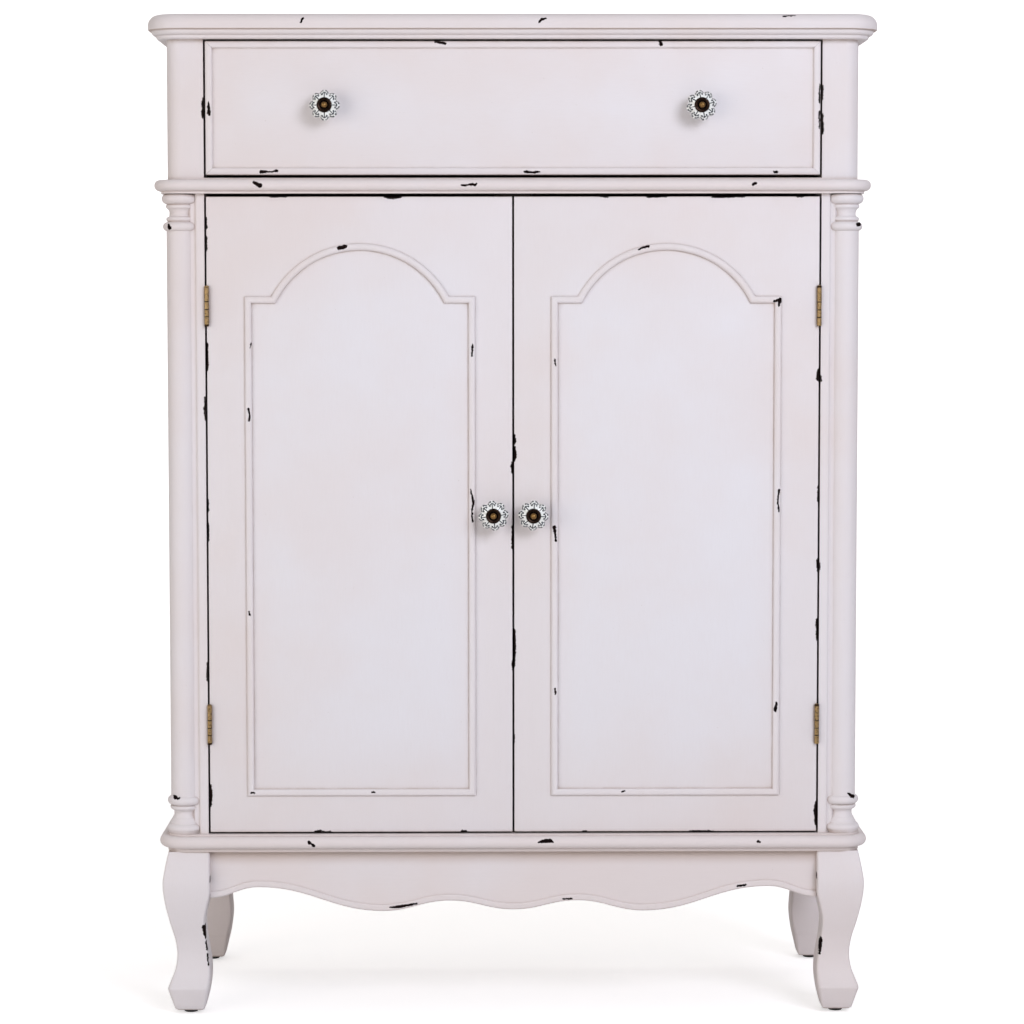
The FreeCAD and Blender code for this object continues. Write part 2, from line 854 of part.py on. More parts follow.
def make_hinge(name, centre_z):
    """Right-hand butt hinge: frame leaf, door leaf, pin, frame screws, door screws."""
    knuckles = 5
    shake = 0.15
    pitch = cell.hinge_tall / knuckles
    low = centre_z - cell.hinge_tall / 2
    axis_y = cell.face - cell.hinge_ahead
    plate_front = cell.face + 1.2
    plate_back = cell.face + cell.hinge_leaf_deep
    leaves = []
    screws = []
    for leaf, first in (("frame", 0), ("door", 1)):
        outer = cell.post_inner if leaf == "frame" else cell.door_edge + cell.hinge_leaf
        sheet_x = (outer - cell.hinge_leaf, outer)
        plate = box(f"{name}_{leaf}_plate", sheet_x, (plate_front, plate_back), (low, low + cell.hinge_tall))
        pieces = [plate]
        for number in range(first, knuckles, 2):
            bottom = low + pitch * number + shake
            pieces.append(
                rod(
                    f"{name}_{leaf}_knuckle{number}", cell.hinge_barrel_r, pitch - 2 * shake,
                    cell.hinge_x, axis_y, bottom,
                )
            )
            pieces.append(
                box(
                    f"{name}_{leaf}_tab{number}",
                    sheet_x,
                    (axis_y, plate_front),
                    (bottom, bottom + pitch - 2 * shake),
                )
            )
        bore = rod(
            f"{name}_{leaf}_bore", cell.hinge_bore_r, cell.hinge_tall + 2, cell.hinge_x, axis_y, low - 1
        )
        into_wood = 1 if leaf == "frame" else -1
        head_x = outer - cell.hinge_leaf if leaf == "frame" else outer
        fixing = make_leaf_screws(f"{name}_{leaf}", head_x, into_wood, centre_z)
        leaves.append(cut(f"{name}_{leaf}", join(f"{name}_{leaf}_blank", *pieces), bore, fixing))
        screws.append(fixing)
    pin = rod(f"{name}_shank", cell.hinge_pin_r, cell.hinge_tall, cell.hinge_x, axis_y, low)
    head = rod(
        f"{name}_pin_head", cell.hinge_pin_r + 0.7, size(0.7), cell.hinge_x, axis_y,
        low + cell.hinge_tall - shake,
    )
    return leaves[0], leaves[1], join(f"{name}_pin", pin, head), screws[0], screws[1]


def make_hinges():
    sets = [make_hinge("UpperHinge", cell.hinge_high_z), make_hinge("LowerHinge", cell.hinge_low_z)]
    frame, door, pins, frame_screws, door_screws = [list(kind) for kind in zip(*sets)]
    for node, pieces in (
        ("hinge_frame_leaves", frame), ("hinge_pins", pins), ("hinge_frame_screws", frame_screws)
    ):
        right = group(node + "_right", *pieces)
        keep(node, group(node + "_all", right, mirror(node + "_left", right)))
    for node, pieces in (("hinge_leaves", door), ("hinge_screws", door_screws)):
        right = group(f"right_{node}", *pieces)
        keep(f"right_door_{node}", right)
        keep(f"left_door_{node}", mirror(f"left_{node}", right))


def make_catch():
    """A double magnetic catch under the waist board, and a steel strike on each door."""
    half, deep, tall = 22.0, 16.0, 12.0
    strike_thick = 1.2
    inside = cell.face + cell.door_thick
    rear = inside + strike_thick + 0.3
    levels = (cell.waist_low - tall, cell.waist_low)
    housing = box("Catch", (size(-half), size(half)), (rear, rear + deep), levels)
    keep("magnetic_catch", housing)
    strike = box(
        "StrikeRight",
        (size(4.0), size(20.0)),
        (inside, inside + strike_thick),
        (cell.waist_low - tall - 2, cell.door_high - 2),
    )
    keep("right_door_strike", strike)
    keep("left_door_strike", mirror("StrikeLeft", strike))


# ---------------------------------------------------------------- knobs
def knob_head_profile():
    """Half section of the glazed head: x outwards, y along the axis with the front towards -Y."""
    radius = cell.knob_r
    bore = cell.knob_hole_r
    return [
        (bore, -8.0),
        (bore, -31.5),
        (9.0, -31.5, size(14.0), "ccw"),
        (radius, -20.5, size(14.0), "ccw"),
        (7.0, -8.0),
    ]


def make_knob_head(name, x, z, angle):
    """A glazed flower knob with eight lobes."""
    lobes = 8
    valley_r, valley_at = 4.2, 21.0
    body = new_body(name)
    turned(body, name + "_turning", sketch(body, name + "_section", "XY_Plane", [knob_head_profile()]))
    half_step = math.pi / lobes
    along_x, along_z = size(valley_at * math.cos(half_step)), size(valley_at * math.sin(half_step))
    valley = [
        (along_x - valley_r, along_z, size(valley_r), "ccw"),
        (along_x + valley_r, along_z, size(valley_r), "ccw"),
    ]
    drawing = sketch(body, name + "_valley", "XZ_Plane", [valley])
    groove = pocket_through(body, name + "_groove", drawing)
    pattern = body.newObject("PartDesign::PolarPattern", name + "_lobes")
    pattern.Originals = [groove]
    pattern.Axis = (origin_feature(body, "Y_Axis"), [""])
    pattern.Angle = FULL_TURN
    pattern.Occurrences = lobes
    body.Tip = pattern
    body.Placement = Placement(Vector(), Rotation(Vector(0, 1, 0), angle))
    return place(body, x, cell.face, z)


def turned_on_front(name, profile, x, z):
    """A part turned about the Y axis, its profile as (outwards, along Y), placed on a front."""
    body = new_body(name)
    turned(body, name + "_turning", sketch(body, name + "_section", "XY_Plane", [profile]))
    return place(body, x, cell.face, z)


def make_knob_metal(name, x, z, thick):
    """Rosette, collar, bolt and nut of one knob: the bolt's domed head shows at the front."""
    shank, bore = cell.knob_bolt_r, cell.knob_hole_r
    reach = cell.knob_reach
    rosette = [
        (bore, -31.5),
        (9.0, -31.5),
        (9.0, -32.3, size(0.9), "cw"),
        (7.4, -33.1, size(1.6), "ccw"),
        (6.2, -32.6),
        (bore, -32.6),
    ]
    collar = [
        (bore, 0),
        (8.0, 0),
        (8.0, -1.6, size(6.0), "ccw"),
        (5.2, -4.5),
        (6.8, -8.0),
        (bore, -8.0),
    ]
    inside = thick + 1.0 + 5.5
    bolt = [
        (0, -reach),
        (0, inside),
        (shank, inside),
        (shank, -32.6),
        (3.8, -32.6),
        (3.8, -33.6, size(4.0), "cw"),
    ]
    made = []
    for piece, profile in (("rosette", rosette), ("collar", collar), ("bolt", bolt)):
        made.append(turned_on_front(f"{name}_{piece}", profile, x, z))
    prism = doc.addObject("Part::Prism", f"{name}_nut_blank")
    prism.Polygon = 6
    bind(prism, "Circumradius", size(4.1))
    bind(prism, "Height", size(3.2))
    prism.Placement = Placement(Vector(), Rotation(Vector(1, 0, 0), QUARTER))
    nut_back = cell.face + thick + 4.2
    place(prism, x, nut_back, z)
    tap = rod(
        f"{name}_nut_tap", shank + 0.05, size(10), x, nut_back + 3, z, Rotation(Vector(1, 0, 0), QUARTER)
    )
    nut = cut(f"{name}_nut", prism, tap)
    rosette_part, collar_part, bolt_part = made
    return rosette_part, collar_part, group(f"{name}_bolt_and_nut", bolt_part, nut)


def make_knobs():
    tilt = {"left_door": -7.0, "right_door": 3.0, "drawer_left": 0.0, "drawer_right": -22.5}
    for node, x in (("left_door", -cell.knob_door_x), ("right_door", cell.knob_door_x)):
        z = cell.knob_door_z
        keep(f"{node}_knob", make_knob_head(f"{node}_head", x, z, tilt[node]))
        metal = make_knob_metal(node, x, z, cell.door_thick)
        for piece, thing in zip(("rosette", "collar", "bolt"), metal):
            keep(f"{node}_knob_{piece}", thing)
    z = cell.knob_drawer_z
    heads, metals = [], []
    for side, x in (("drawer_left", -cell.knob_drawer_x), ("drawer_right", cell.knob_drawer_x)):
        heads.append(make_knob_head(f"{side}_head", x, z, tilt[side]))
        metals.append(make_knob_metal(side, x, z, cell.front_thick))
    keep("drawer_knobs", group("DrawerKnobs", *heads))
    for piece, pair in zip(("rosettes", "collars", "bolts"), zip(*metals)):
        keep(f"drawer_knob_{piece}", group(f"DrawerKnob_{piece}", *pair))


# ---------------------------------------------------------------- drawer and slides
def make_drawer():
    low, high = cell.drawer_low, cell.drawer_high
    half = cell.drawer_half
    blank = box("DrawerFrontBlank", (-half, half), (cell.face, cell.face + cell.front_thick), (low, high))
    drills = [
        knob_hole(f"DrawerDrill{side}", cell.knob_drawer_x * hand, cell.knob_drawer_z)
        for side, hand in (("Left", -1), ("Right", 1))
    ]
    keep("drawer_front", cut("DrawerFront", blank, *drills))

    body = new_body("DrawerTrim")
    wide = cell.edge_trim_wide
    outer = [(-half, low), (half, low), (half, high), (-half, high)]
    inner = [
        (-half + wide, low + wide), (half - wide, low + wide),
        (half - wide, high - wide), (-half + wide, high - wide),
    ]
    drawing = sketch(body, "edge_outline", "XZ_Plane", [outer, inner])
    ring = pad(body, "edge_ring", drawing, cell.edge_trim_high)
    place(body, 0, cell.face, 0)
    front = -cell.edge_trim_high.value
    inside = (half - wide).value

    def inner_front(edge):
        bounds = edge.BoundBox
        level = abs(bounds.YMax - front) < 0.01 and abs(bounds.YMin - front) < 0.01
        within = max(abs(bounds.XMin), abs(bounds.XMax)) < inside + 0.01
        return level and within

    soft = round_edges(body, "edge_inner_round", ring, cell.edge_trim_high * 0.85, inner_front)

    def outer_front(edge):
        bounds = edge.BoundBox
        level = abs(bounds.YMax - front) < 0.01 and abs(bounds.YMin - front) < 0.01
        return level and max(abs(bounds.XMin), abs(bounds.XMax)) > inside + 5

    round_edges(body, "edge_outer_round", soft, size(1.2), outer_front)
    keep("drawer_front_moulding", body)

    wall = cell.drawer_board
    box_half = cell.drawer_box_half
    front_y, back_y = cell.face + cell.front_thick, cell.drawer_box_back
    levels = (cell.drawer_box_low, cell.drawer_box_high)
    floor = (cell.drawer_floor - cell.drawer_floor_thick, cell.drawer_floor)
    bottom_half = box_half - wall + cell.drawer_groove
    bottom = box("DrawerBottom", (-bottom_half, bottom_half), (front_y, back_y), floor)
    keep("drawer_bottom", bottom)
    blank = box("DrawerSideBlank", (box_half - wall, box_half), (front_y, back_y), levels)
    side = cut("DrawerSide", blank, bottom)
    keep("drawer_sides", group("DrawerSides", side, mirror("DrawerSideLeft", side)))
    rear = box(
        "DrawerBack",
        (-box_half + wall, box_half - wall),
        (back_y - wall, back_y),
        (cell.drawer_floor, levels[1]),
    )
    keep("drawer_back", rear)


def make_slides():
    """Two-member ball slides: a channel on each cleat, a smaller one on the drawer, balls between."""
    outer_x = cell.drawer_box_half + cell.slide_wide
    length = (cell.slide_front, cell.slide_front + cell.slide_long)
    thin = cell.slide_sheet
    half = cell.slide_tall / 2
    z = cell.slide_z
    flange_in = cell.drawer_box_half + 3.0
    blank = box("SlideOuterBlank", (flange_in, outer_x), length, (z - half, z + half))
    hollow = box(
        "SlideOuterHollow",
        (flange_in - 1, outer_x - thin),
        (length[0] - 1, length[1] + 1),
        (z - half + thin, z + half - thin),
    )
    outer = cut("SlideOuter", blank, hollow)
    keep("slide_outer_members", group("SlideOuters", outer, mirror("SlideOuterLeft", outer)))

    small = cell.slide_inner_tall / 2
    inner_x = cell.drawer_box_half
    blank = box("SlideInnerBlank", (inner_x, inner_x + cell.slide_inner_wide), length, (z - small, z + small))
    hollow = box(
        "SlideInnerHollow",
        (inner_x + thin, inner_x + cell.slide_inner_wide + 1),
        (length[0] - 1, length[1] + 1),
        (z - small + thin, z + small - thin),
    )
    inner = cut("SlideInner", blank, hollow)
    keep("slide_inner_members", group("SlideInners", inner, mirror("SlideInnerLeft", inner)))

    # The cage is a thin channel that carries two rows of balls between the members' flanges.
    cage_thin = 0.6
    ball_z = (half - thin + small) / 2
    web_x = inner_x + cell.slide_inner_wide + 0.8
    start = cell.slide_front + cell.cage_start
    run = (start, start + cell.cage_long)
    lip = (web_x - 6.0, web_x + cage_thin)
    pieces = [box("CageWeb", (web_x, web_x + cage_thin), run, (z - ball_z, z + ball_z))]
    for name, side in (("Low", -1), ("High", 1)):
        middle = z + ball_z * side
        pieces.append(box(f"Cage{name}", lip, run, (middle - cage_thin / 2, middle + cage_thin / 2)))
        balls = 6
        for number in range(balls):
            ball = doc.addObject("Part::Sphere", f"Ball{name}{number}")
            bind(ball, "Radius", cell.ball_r)
            step = cell.cage_long / balls
            place(ball, web_x - 3.4, start + step * (number + 0.5), middle)
            pieces.append(ball)
    cage = join("Cage", *pieces)
    keep("slide_ball_cages", group("Cages", cage, mirror("CageLeft", cage)))

    cleat = box(
        "Cleat",
        (outer_x, cell.case_half - cell.side_thick),
        (cell.face + cell.post_deep, cell.case_back - cell.back_thick),
        (z - 22, z + 22),
    )
    keep("slide_cleats", group("Cleats", cleat, mirror("CleatLeft", cleat)))


def build():
    make_top_panel()
    make_cornice_board()
    make_waist_board()
    make_base_board()
    make_posts()
    make_columns()
    make_case_panels()
    make_shelves()
    make_legs()
    make_glides()
    make_aprons()
    make_doors()
    make_hinges()
    make_catch()
    make_knobs()
    make_drawer()
    make_slides()
    doc.recompute()


def check_and_write():
    """Stops on a failed object or a bad shape, then writes one STEP file per part."""
    failed = [o.Name for o in doc.Objects if {"Invalid", "Error"} & set(o.State)]
    if failed:
        raise RuntimeError(f"these objects failed: {failed}")
    for node, thing in parts.items():
        shape = thing.Shape
        if shape.isNull() or not shape.isValid() or not shape.Solids:
            raise RuntimeError(f"{node} has no valid solid")
    os.makedirs("parts", exist_ok=True)
    for node, thing in parts.items():
        Part.Compound(thing.Shape.Solids).exportStep(f"parts/{node}.step")
        print(f"{node}: {len(thing.Shape.Solids)} solid(s), {thing.Shape.Volume / 1000:.1f} cm3")


build()
check_and_write()
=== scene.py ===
"""Looks of the painted armoire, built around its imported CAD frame. Metres, +Z up, the front faces -Y."""
import math
import random

import bmesh
import bpy
from mathutils import Matrix, Vector


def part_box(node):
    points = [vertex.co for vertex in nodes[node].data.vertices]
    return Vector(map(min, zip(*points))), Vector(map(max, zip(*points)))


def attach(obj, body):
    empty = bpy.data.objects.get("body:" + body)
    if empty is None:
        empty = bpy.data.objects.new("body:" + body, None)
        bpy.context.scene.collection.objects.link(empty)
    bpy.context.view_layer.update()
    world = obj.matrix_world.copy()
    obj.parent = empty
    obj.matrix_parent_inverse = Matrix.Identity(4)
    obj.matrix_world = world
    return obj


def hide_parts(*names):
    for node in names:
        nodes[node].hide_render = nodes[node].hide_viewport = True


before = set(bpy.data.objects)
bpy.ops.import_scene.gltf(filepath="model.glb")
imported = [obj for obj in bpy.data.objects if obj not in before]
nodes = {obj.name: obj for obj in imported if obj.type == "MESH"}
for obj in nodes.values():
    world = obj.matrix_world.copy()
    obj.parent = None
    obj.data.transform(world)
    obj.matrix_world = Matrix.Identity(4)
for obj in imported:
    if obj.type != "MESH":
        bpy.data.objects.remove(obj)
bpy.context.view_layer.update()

MM = 0.001
rng = random.Random(12)
HANDS = {"left": -1, "right": 1}


# ---------------------------------------------------------------- places read from the frame
def box_mm(node):
    """A node's lowest and highest corners, in millimetres."""
    low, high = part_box(node)
    return Vector(low) / MM, Vector(high) / MM


door_low, door_high = box_mm("right_door_panel")
drawer_low, drawer_high = box_mm("drawer_front")
slab_low, slab_high = box_mm("top_panel")
waist_low, waist_high = box_mm("waist_board")
base_low, base_high = box_mm("base_board")
trim_low, trim_high = box_mm("right_door_moulding")
FACE = door_low.y
CASE_HALF, CASE_BACK = box_mm("side_panel_right")[1].xy


# ---------------------------------------------------------------- material graphs
class Graph:
    """A material's node tree, with short calls for the nodes it is made of."""

    def __init__(self, name):
        self.material = bpy.data.materials.new(name)
        self.material.use_nodes = True
        self.tree = self.material.node_tree
        self.tree.nodes.clear()
        self.output = self.add("ShaderNodeOutputMaterial")

    def add(self, kind, **settings):
        node = self.tree.nodes.new(kind)
        for key, value in settings.items():
            setattr(node, key, value)
        return node

    def feed(self, socket, value):
        if isinstance(value, bpy.types.NodeSocket):
            self.tree.links.new(value, socket)
        elif isinstance(value, (tuple, list, Vector)) and len(value) == 3 and socket.type == "RGBA":
            socket.default_value = (*value, 1.0)
        else:
            socket.default_value = value

    def math(self, operation, a, b=0.0, c=0.0):
        node = self.add("ShaderNodeMath", operation=operation)
        for socket, value in zip(node.inputs, (a, b, c)):
            self.feed(socket, value)
        return node.outputs[0]

    def vector(self, operation, a, b=(0.0, 0.0, 0.0), scale=None):
        node = self.add("ShaderNodeVectorMath", operation=operation)
        self.feed(node.inputs[0], a)
        self.feed(node.inputs[1], b)
        if scale is not None:
            self.feed(node.inputs["Scale"], scale)
        return node.outputs["Value" if operation in ("DOT_PRODUCT", "LENGTH") else "Vector"]

    def split(self, point):
        """The point's X, Y and Z."""
        node = self.add("ShaderNodeSeparateXYZ")
        self.feed(node.inputs[0], point)
        return tuple(node.outputs)

    def length(self, x, y):
        return self.math("SQRT", self.math("ADD", self.math("MULTIPLY", x, x), self.math("MULTIPLY", y, y)))

    def off(self, coordinate, level):
        """How far a coordinate is from a level, which is in millimetres."""
        return self.math("ABSOLUTE", self.math("SUBTRACT", coordinate, level * MM))

    def place(self):
        return self.add("ShaderNodeTexCoord").outputs["Object"]

    def stretch(self, point, scale):
        return self.vector("MULTIPLY", point, scale)

    def noise(self, point, scale, detail=3.0, rough=0.5, colour=False):
        node = self.add("ShaderNodeTexNoise")
        self.feed(node.inputs["Vector"], point)
        node.inputs["Scale"].default_value = scale
        node.inputs["Detail"].default_value = detail
        node.inputs["Roughness"].default_value = rough
        return node.outputs["Color" if colour else "Fac"]

    def ramp(self, value, low, high, to_low=0.0, to_high=1.0):
        """A smooth step from one value to another."""
        node = self.add("ShaderNodeMapRange", interpolation_type="SMOOTHSTEP")
        for socket, number in zip(node.inputs, (value, low, high, to_low, to_high)):
            self.feed(socket, number)
        return node.outputs[0]

    def mix(self, factor, a, b):
        node = self.add("ShaderNodeMix", data_type="RGBA")
        self.feed(node.inputs["Factor"], factor)
        self.feed(node.inputs[6], a)
        self.feed(node.inputs[7], b)
        return node.outputs[2]

    def bump(self, height, distance, strength=1.0, normal=None):
        node = self.add("ShaderNodeBump")
        node.inputs["Strength"].default_value = strength
        node.inputs["Distance"].default_value = distance
        self.feed(node.inputs["Height"], height)
        if normal is not None:
            self.feed(node.inputs["Normal"], normal)
        return node.outputs[0]

    def openness(self, reach, samples):
        """How open a point is: 1 on a bare face, less where another surface comes within reach."""
        node = self.add("ShaderNodeAmbientOcclusion", samples=samples)
        node.inputs["Distance"].default_value = reach * MM
        return node.outputs["AO"]

    def surface(self, colour, rough, normal=None, **fixed):
        shader = self.add("ShaderNodeBsdfPrincipled")
        self.feed(shader.inputs["Base Color"], colour)
        self.feed(shader.inputs["Roughness"], rough)
        if normal is not None:
            self.feed(shader.inputs["Normal"], normal)
        for key, value in fixed.items():
            self.feed(shader.inputs[key.replace("_", " ")], value)
        self.feed(self.output.inputs["Surface"], shader.outputs[0])
        return self.material


# ---------------------------------------------------------------- the worn paint
PAINT_COOL = (0.732, 0.716, 0.742)
PAINT_WARM = (0.708, 0.640, 0.624)
STREAK = (0.60, 0.53, 0.50)
# The tan below is both antique glaze and painted shade in corners.
GLAZE_AND_SHADE_TAN = (0.36, 0.25, 0.18)
# Near-black painted shade for gaps and tight corners.
GAP_PAINTED_SHADE = (0.022, 0.014, 0.012)
BARE_WOOD = (0.006, 0.003, 0.003)
BARE_WOOD_LIGHT = (0.015, 0.006, 0.005)
SPECK = (0.50, 0.43, 0.38)
AGED = 0.45          # how far the paint leans to its warm colour where it wasn't wiped
SHINE = 0.24         # specular level of the paint
BARE_DULLER = 0.20   # how much of that is lost on bare wood
BARE_ROUGHER = 0.28  # how much roughness bare wood adds
COARSE_RAGS = (330.0, 2.0, 3.2)   # noise scale, detail and reach in millimetres of a chip's outline
FINE_RAGS = (950.0, 3.0, 1.9)


def stroke(*stations):
    """Chips on a front: a tapering stroke through stations of (x, z, half width), in millimetres."""
    return [
        ((x0, FACE, z0), (x1, FACE, z1), wide0, wide1, True)
        for (x0, z0, wide0), (x1, z1, wide1) in zip(stations, stations[1:])
    ]


def upright(x, *runs):
    """Chips along a vertical edge: each run is (z, other z, half width, other half width)."""
    return sum((stroke((x, start, wide), (x, end, other)) for start, end, wide, other in runs), [])


def level(z, *runs):
    """Chips along a level edge: each run is (x, other x, half width, other half width)."""
    return sum((stroke((start, z, wide), (end, z, other)) for start, end, wide, other in runs), [])


def random_chips(count, spots):
    """A few chips scattered along edges that the front view doesn't show; spots are (start, end)."""
    chips = []
    for _ in range(count):
        start, end = (Vector(p) for p in rng.choice(spots))
        along = (end - start).normalized()
        middle = start.lerp(end, rng.random())
        half = rng.uniform(0.8, 6.0)
        ends = (tuple(middle - along * half), tuple(middle + along * half))
        chips.append((*ends, rng.uniform(0.5, 1.6), rng.uniform(0.3, 0.9), False))
    return chips


def chip_field(graph, point, chips, proud, depth):
    """Signed distance to the nearest chip's ragged outline, in metres. Front chips lie proud of the
    doors' face by that much, and depth is how much their distance counts along Y."""
    ragged = point
    for scale, detail, reach in (COARSE_RAGS, FINE_RAGS):
        shake = graph.vector("SUBTRACT", graph.noise(point, scale, detail, colour=True), (0.5, 0.5, 0.5))
        ragged = graph.vector("ADD", ragged, graph.vector("SCALE", shake, scale=reach * MM))
    flat = Vector((1.0, depth, 1.0))
    seen_flat = graph.vector("MULTIPLY", ragged, flat)
    nearest = None
    for start, end, wide_start, wide_end, on_front in chips:
        weight = flat if on_front else Vector((1.0, 1.0, 1.0))
        shift = Vector((0.0, -proud if on_front else 0.0, 0.0))
        a = (Vector(start) + shift) * weight * MM
        along = (Vector(end) + shift) * weight * MM - a
        length_squared = max(along.length_squared, 1e-12)
        from_a = graph.vector("SUBTRACT", seen_flat if on_front else ragged, tuple(a))
        dot = graph.vector("DOT_PRODUCT", from_a, tuple(along / length_squared))
        part = graph.math("MAXIMUM", graph.math("MINIMUM", dot, 1.0), 0.0)
        foot = graph.vector("SCALE", tuple(along), scale=part)
        distance = graph.vector("LENGTH", graph.vector("SUBTRACT", from_a, foot))
        width = graph.math("MULTIPLY_ADD", part, (wide_end - wide_start) * MM, wide_start * MM)
        signed = graph.math("SUBTRACT", distance, width)
        nearest = signed if nearest is None else graph.math("MINIMUM", nearest, signed)
    return nearest


def wiped_share(graph, x, z, centre_x, centre_z, half_x, half_z):
    """1 in the middle of a field where the glaze was wiped off, falling to 0 round its edge."""
    wiped_x = graph.ramp(graph.off(x, centre_x), (half_x - 45) * MM, (half_x + 20) * MM, 1.0, 0.0)
    wiped_z = graph.ramp(graph.off(z, centre_z), (half_z - 90) * MM, (half_z + 20) * MM, 1.0, 0.0)
    return graph.math("MULTIPLY", wiped_x, wiped_z)


def glaze_and_painted_shade(graph, point, z, openness, bands, glazed):
    """How much tan goes into the paint: antique glaze and painted shade where two surfaces meet, and painted
    shade along the bands.
    """
    # Near another surface the tan stands for antique glaze and painted shade together.
    closeness = graph.ramp(openness, 0.42, 0.88, 1.0, 0.0)
    patchy = graph.ramp(graph.noise(point, 60.0, 3.0), 0.25, 0.7, 0.45, 1.0)
    glaze = graph.math("MULTIPLY", graph.math("MULTIPLY", closeness, patchy), glazed)
    # Each band adds painted shade under an overhang.
    for level_z, reach, strength in bands:
        band = graph.ramp(graph.off(z, level_z), 0.0, reach * MM, strength, 0.0)
        glaze = graph.math("MAXIMUM", glaze, band)
    return glaze


# glazed sets how much tan goes into the corners: antique glaze and painted shade together.
def painted(
    name, grain=(1.0, 1.0, 0.06), chips=(), warm=0.0, proud=0.0, depth=0.6, clean=None, bands=(), glazed=0.62
):
    """Off-white satin paint over dark wood, with tan in the corners that is both antique glaze and painted
    shade.

    grain is the stretch of the brush marks: small along the board's length. clean is a field
    (centre x, centre z, half width, half height) where the glaze was wiped off and the paint is cooler.
    The bands are levels (z, reach, strength) of painted shade under overhangs."""
    graph = Graph(name)
    point = graph.place()
    x, _, z = graph.split(point)
    broad = graph.noise(point, 3.1, 3.0, 0.55)
    cloud = graph.noise(point, 14.0, 4.0, 0.6)
    shift = graph.math("ADD", graph.math("MULTIPLY", broad, 0.75), graph.math("MULTIPLY", cloud, 0.25))
    tint = graph.ramp(graph.math("ADD", shift, warm), 0.38, 0.66, 0.0, 0.5)
    aged = graph.math("MULTIPLY_ADD", wiped_share(graph, x, z, *clean), -AGED, AGED) if clean else AGED
    colour = graph.mix(graph.math("ADD", tint, aged), PAINT_COOL, PAINT_WARM)

    # Brush marks and the faint open grain under the paint.
    brushed = graph.noise(graph.stretch(point, grain), 900.0, 3.0, 0.6)
    pores = graph.noise(graph.stretch(point, tuple(0.25 * g if g < 1 else g for g in grain)), 2100.0, 2.0)
    pore_mask = graph.ramp(pores, 0.30, 0.40, 1.0, 0.0)
    colour = graph.mix(graph.ramp(brushed, 0.3, 0.75, 0.0, 0.07), colour, STREAK)

    # The corners get a tan that is both antique glaze and painted shade, and the gaps and tightest corners a
    # near-black painted shade.
    openness = graph.openness(8.0, samples=8)
    colour = graph.mix(glaze_and_painted_shade(graph, point, z, openness, bands, glazed), colour, GLAZE_AND_SHADE_TAN)
    colour = graph.mix(graph.ramp(openness, 0.06, 0.20, 1.0, 0.0), colour, GAP_PAINTED_SHADE)
    specks = graph.ramp(graph.noise(point, 420.0, 2.0), 0.755, 0.80, 0.0, 0.55)
    colour = graph.mix(specks, colour, SPECK)

    rough = graph.ramp(cloud, 0.3, 0.7, 0.46, 0.58)
    shine = SHINE
    sunk = graph.math("MULTIPLY", pore_mask, 0.3)
    height = graph.math("SUBTRACT", graph.math("MULTIPLY", brushed, 0.5), sunk)
    normal = graph.bump(height, 0.045 * MM)
    normal = graph.bump(graph.noise(point, 22.0, 2.0), 0.9 * MM, 0.35, normal)

    if chips:
        field = chip_field(graph, point, chips, proud, depth)
        bare = graph.ramp(field, 0.16 * MM, 0.36 * MM, 1.0, 0.0)
        wood_grain = graph.noise(graph.stretch(point, grain), 700.0, 3.0)
        wood = graph.mix(graph.ramp(wood_grain, 0.45, 0.75), BARE_WOOD, BARE_WOOD_LIGHT)
        colour = graph.mix(bare, colour, wood)
        rough = graph.math("MULTIPLY_ADD", bare, BARE_ROUGHER, rough)
        shine = graph.math("MULTIPLY_ADD", bare, -BARE_DULLER, shine)
        normal = graph.bump(graph.ramp(field, -0.25 * MM, 0.12 * MM), 0.35 * MM, 0.8, normal)
    return graph.surface(colour, rough, normal, Specular_IOR_Level=shine)


def raw_wood(name, light, dark):
    """Clear-lacquered drawer wood, its grain running along Y."""
    graph = Graph(name)
    point = graph.place()
    wander = graph.noise(point, 4.0, 2.0, colour=True)
    bent = graph.vector("ADD", point, graph.vector("SCALE", wander, scale=0.03))
    figure = graph.noise(graph.stretch(bent, (14.0, 0.7, 14.0)), 3.4, 4.0, 0.6)
    fibre = graph.noise(graph.stretch(point, (1.0, 0.04, 1.0)), 1500.0, 3.0, 0.6)
    colour = graph.mix(graph.ramp(figure, 0.32, 0.68), light, dark)
    colour = graph.mix(graph.ramp(fibre, 0.35, 0.75, 0.0, 0.35), colour, dark)
    normal = graph.bump(fibre, 0.05 * MM)
    rough = graph.ramp(fibre, 0.3, 0.7, 0.42, 0.6)
    return graph.surface(colour, rough, normal)


def hardboard(name):
    """Pressed fibre board, mottled brown."""
    graph = Graph(name)
    point = graph.place()
    fibre = graph.noise(point, 900.0, 4.0, 0.7)
    cloud = graph.noise(point, 9.0, 3.0)
    colour = graph.mix(graph.ramp(fibre, 0.3, 0.7), (0.50, 0.43, 0.35), (0.36, 0.29, 0.22))
    colour = graph.mix(graph.ramp(cloud, 0.35, 0.7, 0.0, 0.3), colour, (0.60, 0.54, 0.46))
    return graph.surface(colour, 0.72, graph.bump(fibre, 0.08 * MM))


